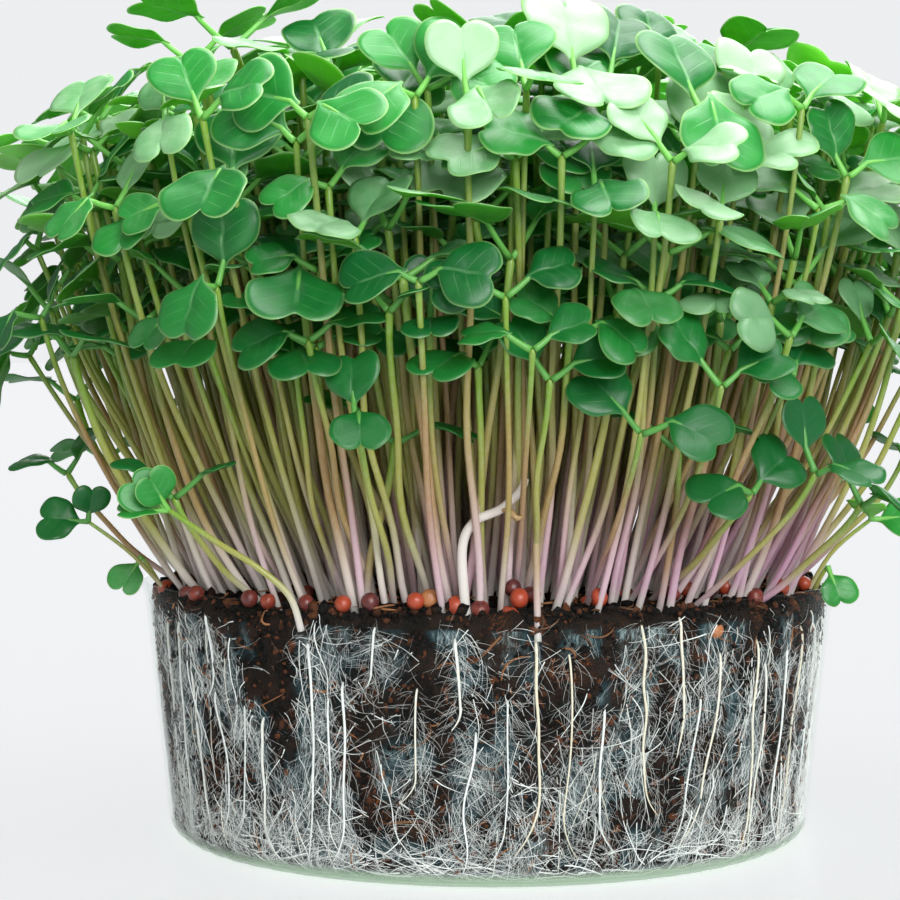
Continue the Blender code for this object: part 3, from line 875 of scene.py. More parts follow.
class StemPath:
    """A cubic curve from the crown to the fork that bows outwards."""

    def __init__(self, foot: Vector, fork: Vector, bow: Vector) -> None:
        """Sets the curve's four knots."""
        run = fork - foot
        self.knots = (foot, foot + run / 3 + bow, fork - run / 3 + bow, fork)

    def at(self, share: float) -> tuple[Vector, Vector]:
        """The point and the direction at a share of the way up."""
        a, b, c, d = self.knots
        left = 1 - share
        point = a * left**3 + b * 3 * left**2 * share + c * 3 * left * share**2 + d * share**3
        slope = (b - a) * left**2 + (c - b) * 2 * left * share + (d - c) * share**2
        return point, slope.normalized()

    def points(self, shares: Array) -> Array:
        """The points at several shares, as rows."""
        a, b, c, d = (np.array(knot) for knot in self.knots)
        share = shares[:, None]
        left = 1 - share
        return a * left**3 + b * 3 * left**2 * share + c * 3 * left * share**2 + d * share**3


def square_ring(centre: Vector, direction: Vector, angle: float, radius: float) -> list[Vector]:
    """Four corners round a stem, the first at 45 degrees past the angle."""
    tilt = UP.rotation_difference(direction)
    return [centre + tilt @ on_circle(radius, angle + 45 + 90 * i, 0) for i in range(4)]


def add_blade(shape: Shape, neck: Sequence[int], leaf: LeafFrame, grow: float) -> None:
    """Adds a plain notched leaf from its neck corners.

    Args:
        shape: The shape that it is added to.
        neck: The numbers of the neck's four corners.
        leaf: Where the leaf sits, with its size grown already.
        grow: How much thicker than the leaf it is made.
    """
    right = [(u, -v) for u, v in reversed(HALF_OUTLINE)]
    outline = list(HALF_OUTLINE) + [(NOTCH, 0.0)] + right + [(BLADE_MIDDLE, 0.0)]
    sides = []
    for side in (1, -1):
        points = []
        for u, v in outline:
            height = leaf.width * leaf.cup * 2 * v * v - leaf.length * leaf.droop * u * u
            height += side * (BLADE_THICKNESS + grow) / 2
            flat = leaf.origin + leaf.along * u * leaf.length + leaf.across * v * leaf.width
            points.append(flat + leaf.normal * height)
        sides.append(shape.add(points))
    top_left, top_right, low_right, low_left = neck
    loops = (
        [top_right, top_left] + sides[0][:-1],
        [low_right, low_left] + sides[1][:-1],
    )
    count = len(loops[0])
    for loop, points in zip(loops, sides):
        middle = points[-1]
        shape.faces += [(loop[i], loop[(i + 1) % count], middle) for i in range(count)]
    for i in range(1, count):
        j = (i + 1) % count
        shape.faces.append((loops[0][i], loops[0][j], loops[1][j], loops[1][i]))


class Seedling:
    """One settled seedling: its sprig, its stem and the small bends of its leaves."""

    def __init__(
        self, sprig: Sprig, foot: Vector, crown_angle: float, rng: random.Random, looseness: float
    ) -> None:
        """Draws the seedling's own unevenness.

        Args:
            sprig: The fork and leaves that it should have.
            foot: Where its stem starts.
            crown_angle: The angle of the crown that it stands in, in degrees.
            rng: The source of its random draws.
            looseness: How far it may stray from the sprig, from 0 to 1.
        """
        reach = LOOSEST * looseness
        fork = Vector((
            sprig.x + rng.uniform(-0.5, 0.5) * reach,
            sprig.y + rng.uniform(-0.5, 1.0) * reach,
            sprig.z + rng.uniform(-1.0, 0.5) * reach,
        ))
        outward = Vector((fork.x, fork.y, 0)).normalized()
        most = SIDE_BOW + LOOSE_BOW * looseness
        sideways = on_circle(rng.uniform(0, most), rng.uniform(0, 360), 0)
        self.path = StemPath(foot, fork, outward * STEM_BOW + sideways)
        self.crown_angle = crown_angle
        self.turn = sprig.turn + rng.uniform(-LOOSE_TURN, LOOSE_TURN) * looseness
        self.skew = rng.uniform(-SKEW, SKEW)
        self.rises = (sprig.rise_a, sprig.rise_b)
        self.width = sprig.width * (1 - LOOSE_SHRINK * looseness)
        self.petioles = tuple(PETIOLE * rng.uniform(*PETIOLE_SPREAD) for _ in range(2))
        self.bends = tuple((rng.uniform(*DROOP), rng.uniform(*CUP)) for _ in range(2))
        self.rolls = tuple(rng.uniform(-ROLL, ROLL) for _ in range(2))

    def leaf_frame(self, k: int, start: Vector, grow: float) -> tuple[LeafFrame, list[Vector]]:
        """Works out one leaf.

        Args:
            k: 0 for the first leaf and 1 for the second.
            start: The middle of the petiole's root.
            grow: How much larger than the leaf it is made.

        Returns:
            The leaf's frame and the four corners of its neck.
        """
        heading = (self.turn, self.turn + 180 + self.skew)[k]
        rise = self.rises[k]
        droop, cup = self.bends[k]
        lean = math.radians(PETIOLE_LEAN + LEAN_WITH_RISE * rise)
        outward = on_circle(1, heading, 0)
        across = on_circle(1, heading + 90, 0)
        tip = start + (outward * math.cos(lean) + UP * math.sin(lean)) * self.petioles[k]
        slope = math.radians(rise)
        along = outward * math.cos(slope) + UP * math.sin(slope)
        normal = along.cross(across)
        tilt = math.radians(self.rolls[k])
        across, normal = (
            across * math.cos(tilt) + normal * math.sin(tilt),
            normal * math.cos(tilt) - across * math.sin(tilt),
        )
        half, thick = NECK_HALF + grow / 2, (BLADE_THICKNESS + grow) / 2
        neck = [
            tip + across * half - normal * thick,
            tip - across * half - normal * thick,
            tip - across * half + normal * thick,
            tip + across * half + normal * thick,
        ]
        length, width = self.width * BLADE_SHARE + grow, self.width + grow
        return LeafFrame(start, tip, along, across, normal, length, width, droop, cup), neck

    def add_to(self, shape: Shape, corners: Sequence[int], grow: float = 0.0) -> list[LeafFrame]:
        """Grows the stem and both leaves on the four corners given.

        Args:
            shape: The shape that they are added to.
            corners: The numbers of the foot's corners.
            grow: How much larger than the seedling it is made.

        Returns:
            The frames of both leaves.
        """
        quarter = round((self.crown_angle - self.turn) / 90)
        last_angle = self.turn + 90 * quarter
        for share, radius in zip(STEM_STEPS, STEM_RADII[1:]):
            centre, direction = self.path.at(share)
            angle = self.crown_angle + (last_angle - self.crown_angle) * share
            ring = shape.add(square_ring(centre, direction, angle, radius + grow / 2))
            shape.band(corners, ring)
            corners = ring
        first = -quarter % 4
        near_left, near_right = corners[first], corners[(first - 1) % 4]
        far_left, far_right = corners[(first + 1) % 4], corners[(first + 2) % 4]
        tilt = UP.rotation_difference(direction)
        ridge = tilt @ on_circle(ROOF_HALF, self.turn + 90, 0)
        roof = centre + direction * ROOF_RISE
        left, right = shape.add([roof + ridge, roof - ridge])
        shape.faces += [(near_left, far_left, left), (far_right, near_right, right)]
        roots = ((near_left, near_right, right, left), (far_right, far_left, left, right))
        leaves = []
        for k in range(2):
            start = sum((shape.points[i] for i in roots[k]), Vector()) / 4
            leaf, corners_of_neck = self.leaf_frame(k, start, grow)
            low_left, low_right, top_right, top_left = shape.add(corners_of_neck)
            shape.band(roots[k], [low_left, low_right, top_right, top_left])
            add_blade(shape, (top_left, top_right, low_right, low_left), leaf, grow)
            leaves.append(leaf)
        return leaves

    def shape(self, grow: float = 0.0) -> tuple[Shape, list[LeafFrame]]:
        """The seedling alone as a plain shape, and its leaves."""
        shape = Shape()
        foot = self.path.knots[0]
        corners = shape.add(square_ring(foot, UP, self.crown_angle, STEM_RADII[0] + grow / 2))
        leaves = self.add_to(shape, corners, grow)
        return shape, leaves

    def tree(self, grow: float = 0.0, knee_up: bool = False) -> BVHTree:
        """A search tree of the seedling alone, with its lowest stretch left out on request."""
        shape, _ = self.shape(grow)
        faces = shape.faces[4:] if knee_up else shape.faces
        return BVHTree.FromPolygons(shape.points, faces)


def soil_sites() -> list[Vector]:
    """Crown places in rings, with a little unevenness, outermost first."""
    rng = random.Random(SEED + 2)
    sites = []
    for radius, count in SITE_RINGS:
        for i in range(count):
            angle = 360 * (i + rng.uniform(-SITE_TURN, SITE_TURN)) / count
            reach = radius + rng.uniform(-SITE_SHIFT, SITE_SHIFT)
            sites.append(on_circle(reach, angle, 0).to_2d())
    return sites


def seed_places(sites: list[Vector]) -> list[Vector]:
    """Places for seed coats near the wall, clear of the crowns and of each other."""
    rng = random.Random(SEED + 1)
    places: list[Vector] = []
    for _ in range(SEED_TRIES):
        spot = on_circle(rng.uniform(*SEED_BAND), rng.uniform(0, 360), 0).to_2d()
        if all((spot - other).length > SEED_GAP for other in sites + places):
            places.append(spot)
    return places


def grown_sprig(site: Vector, slot: int, rng: random.Random) -> Sprig:
    """A sprig by the rule: leaning outwards, near the top of the canopy or lower inside it."""
    spread = SPREAD * rng.uniform(*SPREAD_SHARE)
    shift = on_circle(rng.uniform(0, FORK_SHIFT), rng.uniform(0, 360), 0).to_2d()
    place = site * spread + shift
    if place.length > FORK_REACH:
        place *= FORK_REACH / place.length
    dome = CANOPY_TOP - dome_fall(place.length)
    depth = rng.uniform(*(LOWER_DEPTH if slot else UPPER_DEPTH))
    rises = [rng.uniform(*RISES) for _ in range(2)]
    return Sprig(place.x, place.y, dome - depth, rng.uniform(0, 360), *rises, rng.uniform(*WIDTHS))


def share_out_sprigs(sites: list[Vector]) -> list[list[Sprig]]:
    """Two sprigs for each site: the front ones, lowest first, go to the nearest free site."""
    chosen: list[list[Sprig]] = [[] for _ in sites]
    for sprig in sorted(FRONT_SPRIGS, key=lambda sprig: sprig.z):
        share = BASE_SHARE + (MIDDLE_FORK - sprig.z) * SHARE_FALL
        wanted = Vector((sprig.x, sprig.y)) * share
        free = [i for i in range(len(sites)) if len(chosen[i]) < 2]
        chosen[min(free, key=lambda i: (sites[i] - wanted).length)].append(sprig)
    for i, site in enumerate(sites):
        rng = random.Random(SEED * 1000 + i)
        for slot in range(len(chosen[i]), 2):
            chosen[i].append(grown_sprig(site, slot, rng))
    return chosen


def crown_angle_of(pair: Sequence[Sprig]) -> float:
    """The angle of a crown that holds two sprigs, in degrees."""
    first, second = pair
    return math.degrees(math.atan2(second.y - first.y, second.x - first.x))


def settle(
    sprig: Sprig, foot: Vector, angle: float, rng: random.Random,
    standing: list[BVHTree], sibling: Seedling | None,
) -> Seedling | None:
    """Finds a seedling that touches nothing already standing.

    Args:
        sprig: The fork and leaves that it should have.
        foot: Where its stem starts.
        angle: The angle of its crown.
        rng: The source of its random draws.
        standing: Search trees of the seedlings that stand already.
        sibling: The other seedling of the same crown, if it stands.

    Returns:
        The first seedling that is clear of them, later tries being looser, or None.
    """
    for attempt in range(MOST_TRIES):
        seedling = Seedling(sprig, foot, angle, rng, attempt / MOST_TRIES)
        tree = seedling.tree(CLEARANCE)
        if any(tree.overlap(other) for other in standing):
            continue
        if sibling:
            knee = seedling.path.at(STEM_STEPS[0])[0]
            if (knee - sibling.path.at(STEM_STEPS[0])[0]).length < KNEE_GAP:
                continue
            if seedling.tree(CLEARANCE, knee_up=True).overlap(sibling.tree(0, knee_up=True)):
                continue
        return seedling
    return None


@dataclass
class Clump:
    """A crown's place, its CAD node, and the seedlings that stand there."""

    site: Vector
    node: str
    seedlings: list[Seedling] = field(default_factory=list)


def settle_all(sites: list[Vector]) -> list[Clump]:
    """Every site's seedlings, the front ones first, each clear of those settled before it."""
    chosen = share_out_sprigs(sites)
    settled: list[list[Seedling | None]] = [[None, None] for _ in sites]
    trees: list[list[BVHTree]] = [[] for _ in sites]
    ranks = {sprig: rank for rank, sprig in enumerate(FRONT_SPRIGS)}
    order = [
        (ranks.get(chosen[i][slot], len(ranks)), slot, i)
        for i in range(len(sites)) for slot in range(2)
    ]
    for _, slot, i in sorted(order):
        angle = crown_angle_of(chosen[i])
        step = CROWN_LENGTH / 4 * (1 if slot else -1)
        top = soil_height(*sites[i]) + CROWN_RISE
        foot = Vector((*sites[i], top)) + on_circle(1, angle, 0) * step
        rng = random.Random(SEED * 100000 + i * 10 + slot)
        standing = [tree for j in range(len(sites)) if j != i for tree in trees[j]]
        seedling = settle(chosen[i][slot], foot, angle, rng, standing, settled[i][1 - slot])
        if seedling:
            settled[i][slot] = seedling
            trees[i].append(seedling.tree())
    return [
        Clump(site, f"seedlings_{number:02}", [seedling for seedling in pair if seedling])
        for number, (site, pair) in enumerate(zip(sites, settled), start=1)
    ]


# The tub

@dataclass
class ClearTub:
    """The clear tub: a rounded heel with fine ribs, a sloping wall and a rolled rim."""

    sizes: TubSizes = TUB
    segments: int = 384
    heel_steps: int = 8
    rim_steps: int = 8
    bead: float = 0.45
    base_lift: float = 0.35

    def profile(self) -> list[Triple]:
        """Radius, height and rib share of the outline, from the base up and back down inside."""
        s = self.sizes
        points = [(s.base_radius - 6.0, self.base_lift, 0.0), (s.base_radius - 3.0, 0.05, 0.0)]
        for step in range(self.heel_steps + 1):
            angle = math.pi / 2 * step / self.heel_steps
            rib = math.sin(2 * angle)
            points.append((
                s.base_radius + s.heel_radius * math.sin(angle),
                s.heel_radius - s.heel_radius * math.cos(angle), rib,
            ))
        points.append((s.wall_radius(s.wall_top - 1.2, 0.0), s.wall_top - 1.2, 0.0))
        points.append((s.wall_top_radius + 0.1, s.wall_top, 0.0))
        middle = s.rim_radius - self.bead
        for step in range(self.rim_steps + 1):
            angle = math.pi * (step / self.rim_steps) * 1.15 - 0.35
            points.append((
                middle + self.bead * math.cos(angle),
                s.height - self.bead + self.bead * math.sin(angle), 0.0,
            ))
        points.append((s.wall_radius(s.wall_top - 1.6, s.wall), s.wall_top - 1.6, 0.0))
        reach = s.heel_radius - s.wall
        for step in range(self.heel_steps, -1, -1):
            angle = math.pi / 2 * step / self.heel_steps
            points.append((
                s.base_radius + reach * math.sin(angle), s.heel_radius - reach * math.cos(angle), 0.0,
            ))
        points.append((s.base_radius - 6.0, s.wall + self.base_lift, 0.0))
        return points

    def build(self) -> None:
        """Turns the outline round the axis and puts the tub on the object."""
        profile = self.profile()
        angles = np.arange(self.segments) * 2 * np.pi / self.segments
        ribs = 0.5 - 0.5 * np.cos(angles * self.sizes.ribs)
        rings = []
        for radius, height, rib in profile:
            reach = radius - self.sizes.rib_depth * rib * ribs
            rings.append(round_axis(reach, angles, height))
        points = np.concatenate(rings + [np.array([[0, 0, profile[0][1]], [0, 0, profile[-1][1]]])])
        faces = lathe_faces(len(rings), self.segments)
        parts = MeshParts()
        parts.add(points, faces)
        install(parts.make("tub", ClearFinish().build()), ["tray"])


# The growing mix

def noise_rows(points: Array, spacing: float, layer: float) -> Array:
    """Smooth noise from -1 to 1 for each row, with lumps of about a spacing."""
    return np.array([noise.noise(Vector(row) / spacing + UP * layer) for row in points])


# Main roots on the side that the photograph shows: degrees round the tub, top and foot in millimetres.
MAIN_ROOTS = (
    (-158.2, 36.1, 1.8), (-152.3, 36.1, 1.3), (-146.7, 32.9, 2.9), (-141.2, 37.4, 24.7), (-139.5, 26.3, 3.1),
    (-134.5, 25.3, 2.9), (-129.9, 22.8, 1.8), (-119.9, 35.3, 3.1), (-117.0, 26.5, 4.2), (-113.7, 28.9, 2.8),
    (-107.2, 36.9, 28.4), (-101.1, 28.5, 11.7), (-95.4, 35.5, 22.4), (-92.7, 22.5, 2.0), (-87.4, 27.3, 2.6),
    (-82.3, 35.5, 4.9), (-77.4, 33.7, 4.2), (-71.2, 25.8, 4.5), (-65.3, 37.6, 9.7), (-58.4, 37.8, 17.8),
    (-55.1, 27.4, 4.9), (-51.8, 32.9, 5.2), (-41.3, 33.6, 0.9), (-39.6, 30.5, 1.6), (-32.9, 32.9, 2.1),
    (-26.3, 34.5, 2.5), (-18.8, 34.6, 7.4),
)
GUESSED_MAINS = 38


def main_root_rows() -> Array:
    """The angle in radians, the top and the foot of every main root, with guessed ones behind."""
    rng = np.random.default_rng(SEED + 20)
    behind = np.deg2rad(np.linspace(-12, 190, GUESSED_MAINS) + rng.uniform(-2.6, 2.6, GUESSED_MAINS))
    guessed = np.stack([
        behind, rng.uniform(24, 37.8, GUESSED_MAINS), rng.uniform(1.5, 12, GUESSED_MAINS),
    ], axis=-1)
    seen = np.array(MAIN_ROOTS) * np.array([np.pi / 180, 1, 1])
    return np.concatenate([seen, guessed])


WALL_MIDDLE = 52.0
PATCH_STRETCH = np.array([1.0, 1.0, 0.6])
PATCHES = ((6.5, 43.0, 1.0), (2.6, 51.0, 0.6))
FUZZ_BASE = 0.20
FUZZ_IN_PATCHES = 1.7
FUZZ_BY_MAINS = 0.42
FUZZ_REACH = 1.9
FUZZ_LOW = 0.3
FUZZ_FLOOR = 2.0
FUZZ_FADE = 3.0


def fuzz_at(points: Array) -> Array:
    """How dense the root hairs are by the wall, from 0 to 1: in patches, by the mains and low down."""
    where = points * PATCH_STRETCH
    patch = sum(strength * noise_rows(where, spacing, layer) for spacing, layer, strength in PATCHES)
    rows = main_root_rows()
    angles = np.arctan2(points[:, 1], points[:, 0])
    aside = (angles[:, None] - rows[None, :, 0] + np.pi) % (2 * np.pi) - np.pi
    over = np.maximum(points[:, 2:] - rows[None, :, 1], rows[None, :, 2] - points[:, 2:])
    gap = np.hypot(WALL_MIDDLE * aside, np.maximum(over, 0)).min(axis=1)
    near = np.exp(-((gap / FUZZ_REACH) ** 2))
    low = np.exp(-np.maximum(points[:, 2] - FUZZ_FLOOR, 0) / FUZZ_FADE)
    fuzz = FUZZ_BASE + FUZZ_IN_PATCHES * patch + FUZZ_BY_MAINS * near + FUZZ_LOW * low
    return np.clip(fuzz, 0, 1)


@dataclass
class GrowingMix:
    """The plug of dark mix, with its loose crumbs and red-brown strands."""

    sizes: TubSizes = TUB
    inset: float = 1.25
    segments: int = 540
    wall_rows: int = 76
    top_rows: int = 70
    side_crumbs: int = 11000
    top_crumbs: int = 5200
    strands: int = 900
    floor: float = 1.0
    lumps: tuple[Triple, ...] = ((4.2, 3.0, 0.75), (1.7, 9.0, 0.45), (0.8, 17.0, 0.25))
    highest_lump: float = 0.75
    knobs: float = 0.38
    squash: Pair = (0.55, 1.25)
    light_share: float = 0.28
    strand_heights: Pair = (2.5, 37.5)
    strand_lengths: Pair = (1.5, 6.5)
    strand_bend: float = 1.2
    strand_girths: Pair = (0.06, 0.20)
    strands_on_top: float = 0.30

    def plug(self, finish: Material) -> Object:
        """The lumpy plug itself.

        Args:
            finish: The material of the mix.

        Returns:
            The plug.
        """
        s = self.sizes
        angles = np.arange(self.segments) * 2 * np.pi / self.segments
        rings = []
        outward = []
        heights = self.floor + (SOIL_TOP - 2 * self.floor) * np.linspace(0, 1, self.wall_rows) ** 1.15
        for height in heights:
            radius = s.wall_radius(float(height), self.inset)
            rings.append(round_axis(radius, angles, height))
            outward.append(round_axis(1.0, angles, 0.0))
        edge = s.wall_radius(36.0, self.inset) - 0.4
        for radius in edge * (1 - np.linspace(0, 1, self.top_rows, endpoint=False) ** 0.8):
            ring = round_axis(radius, angles, 0.0)
            ring[:, 2] = [top_height(x, y) for x, y, _ in ring]
            rings.append(ring)
            outward.append(np.tile(UP_ROW, (self.segments, 1)))
        points = np.concatenate(rings)
        normals = np.concatenate(outward)
        rough = sum(height * noise_rows(points, spacing, layer) for spacing, layer, height in self.lumps)
        points = points + normals * np.minimum(rough - 0.15, self.highest_lump)[:, None]
        points = np.concatenate([points, [[0, 0, 1.3], [0, 0, soil_height(0, 0)]]])
        tone = np.clip(0.5 + 0.5 * rough, 0, 1)
        rust = np.clip(0.5 + 0.9 * noise_rows(points[:-2], 6.0, 31.0), 0, 1)
        fuzz = fuzz_at(points[:-2]) * (points[:-2, 2] < 37.0)
        value = np.stack([tone, rust, fuzz], axis=-1)
        value = np.concatenate([value, [[0.5, 0.5, 0.0]] * 2])
        parts = MeshParts()
        parts.add(points, lathe_faces(len(rings), self.segments), crumb=value)
        return parts.make("mix_plug", finish)

    def crumbs(
        self, name: str, places: Array, sizes: Array, finish: Material, seed: int
    ) -> Object:
        """Rough angular crumbs at the places given.

        Args:
            name: The name of the piece.
            places: Their middles, as rows.
            sizes: Their radii.
            finish: The material of the crumbs.
            seed: The seed of their shapes.

        Returns:
            All the crumbs as one piece.
        """
        rng = np.random.default_rng(seed)
        ball, faces = icosahedron()
        count = len(places)
        knobs = 1 + rng.uniform(-self.knobs, self.knobs, (count, len(ball), 1))
        squash = rng.uniform(*self.squash, (count, 1, 3))
        points = ball[None] * knobs * squash * sizes[:, None, None] + places[:, None, :]
        light = rng.uniform(0, 1, count) < self.light_share
        tone = np.where(light, rng.uniform(0.5, 1.0, count), rng.uniform(0, 0.25, count))
        rust = np.where(light, rng.uniform(0.4, 1.0, count), rng.uniform(0, 0.6, count))
        value = np.repeat(np.stack([tone, rust, 0 * tone], axis=-1), len(ball), axis=0)
        all_faces = (faces[None] + (np.arange(count) * len(ball))[:, None, None]).reshape(-1, 3)
        parts = MeshParts()
        parts.add(points, [all_faces], crumb=value)
        return parts.make(name, finish)

    def side_places(self) -> Runs:
        """Places and radii of the crumbs against the wall."""
        rng = np.random.default_rng(SEED + 11)
        sizes = 0.24 + 0.95 * rng.beta(1.1, 3.0, self.side_crumbs)
        angles = rng.uniform(0, 2 * np.pi, self.side_crumbs)
        heights = 2.0 + 36.6 * rng.uniform(0, 1, self.side_crumbs) ** 0.9
        insets = self.sizes.wall + 0.15 + sizes * 1.1 + rng.uniform(0, 0.6, self.side_crumbs)
        places = self.sizes.on_wall(angles, heights, insets)
        kept = fuzz_at(places) < rng.uniform(0.10, 0.85, self.side_crumbs)
        return places[kept], sizes[kept]

    def top_places(self) -> Runs:
        """Places and radii of the crumbs on top, more of them near the wall."""
        rng = np.random.default_rng(SEED + 12)
        sizes = 0.3 + 1.0 * rng.beta(1.1, 2.6, self.top_crumbs)
        angles = rng.uniform(0, 2 * np.pi, self.top_crumbs)
        radii = (52.6 - sizes) * rng.uniform(0, 1, self.top_crumbs) ** 0.36
        places = round_axis(radii, angles, 0.0)
        places[:, 2] = [top_height(x, y) for x, y, _ in places]
        places[:, 2] += sizes * rng.uniform(-0.4, 0.9, self.top_crumbs)
        return places, sizes

    def strand_piece(self, finish: Material) -> Object:
        """Thin bent strands in the mix, against the wall and on top."""
        rng = np.random.default_rng(SEED + 13)
        rings = 7
        count = self.strands
        angles = rng.uniform(0, 2 * np.pi, count)
        heights = rng.uniform(*self.strand_heights, count)
        turn = rng.uniform(0, 2 * np.pi, count)
        length = rng.uniform(*self.strand_lengths, count)
        bend = rng.uniform(-self.strand_bend, self.strand_bend, count)
        steps = np.linspace(-0.5, 0.5, rings)
        heading = turn[:, None] + bend[:, None] * steps[None]
        ahead = length[:, None] * steps[None]
        around = angles[:, None] + ahead * np.cos(heading) / 50
        up = heights[:, None] + ahead * np.sin(heading)
        inset = self.sizes.wall + 0.35 + rng.uniform(0, 0.9, count)[:, None] + 0.5 * (2 * steps[None]) ** 2
        top = rng.uniform(0, 1, count) < self.strands_on_top
        paths = self.sizes.on_wall(around, np.clip(up, 1.5, 38.5), inset)
        flat_radius = 51.0 * rng.uniform(0.3, 1, count) ** 0.5
        flat = round_axis(flat_radius[:, None], angles[:, None], 0.0) + round_axis(ahead, heading, 0.0)
        reach = np.linalg.norm(flat[..., :2], axis=-1, keepdims=True)
        flat[..., :2] *= np.minimum(1, 51.5 / np.maximum(reach, 1e-6))
        levels = [top_height(x, y) for x, y, _ in flat.reshape(-1, 3)]
        flat[..., 2] = np.array(levels).reshape(count, rings) + rng.uniform(0.1, 1.4, (count, 1))
        flat[..., 2] += rng.uniform(-0.12, 0.12, (count, 1)) * ahead
        paths[top] = flat[top]
        taper = 1.05 - 0.7 * (2 * np.abs(steps[None])) ** 3
        thick = rng.uniform(*self.strand_girths, count)[:, None] * taper
        aside = unit(round_axis(1.0, angles, 0.02))
        aside[top] = UP_ROW
        points, faces = tubes(paths, thick, aside, 4)
        tone = np.repeat(rng.beta(1.6, 1.6, count)[:, None], rings, axis=1)
        value = tube_values([tone, tone, tone], rings, 4)
        parts = MeshParts()
        parts.add(points, faces, crumb=value)
        return parts.make("mix_strands", finish)

    def build(self) -> None:
        """Makes the plug, its crumbs and its strands, and puts them on the object."""
        plug = self.plug(MixFinish().build("growing_mix"))
        finish = MixFinish(dark=(0.002, 0.0014, 0.001), brown=(0.090, 0.030, 0.012)).build("mix_crumb")
        side = self.crumbs("mix_crumbs_wall", *self.side_places(), finish, SEED + 14)
        top = self.crumbs("mix_crumbs_top", *self.top_places(), finish, SEED + 15)
        strands = self.strand_piece(FibreFinish().build())
        for piece in (plug, side, top, strands):
            install(piece, ["soil"])


def icosahedron() -> Runs:
    """The points and faces of a ball of twenty triangles with radius one."""
    golden = (1 + math.sqrt(5)) / 2
    points = []
    for a in (-1, 1):
        for b in (-golden, golden):
            points += [(0, a, b), (a, b, 0), (b, 0, a)]
    rows = unit(np.array(points, dtype=float))
    edge = np.linalg.norm(rows[:, None] - rows[None], axis=-1)
    near = edge < 1.1
    faces = []
    for i in range(12):
        for j in range(i + 1, 12):
            for k in range(j + 1, 12):
                if near[i, j] and near[j, k] and near[i, k]:
                    turn = np.dot(np.cross(rows[j] - rows[i], rows[k] - rows[i]), rows[i])
                    faces.append((i, j, k) if turn > 0 else (i, k, j))
    return rows, np.array(faces)


# Roots

class Heading(Enum):
    """The way that a kind of root sets off."""

    DOWN = "straight down"
    SLANTING = "down and aside"
    LEVEL = "round the tub"
    STEEP = "steeply up or down"
    ANY = "any way"


@dataclass(frozen=True)
class RootKind:
    """How many roots of a kind there are, how they run and how thick they are, in millimetres.

    Depths lie inside the wall. A high patchy keeps them to dense patches, curl is the most that
    they bend in radians for each millimetre, and tuft is how many start from one spot.
    """

    name: str
    count: int
    heading: Heading
    heights: Pair
    lengths: Pair
    girths: Pair
    drift: float
    tones: Pair = (0.0, 0.5)
    depths: Pair = (0.2, 0.9)
    rings: int = 12
    sides: int = 4
    end_share: float = 0.4
    dip: float = 0.25
    patchy: float = 0.0
    curl: float = 0.0
    tuft: int = 1


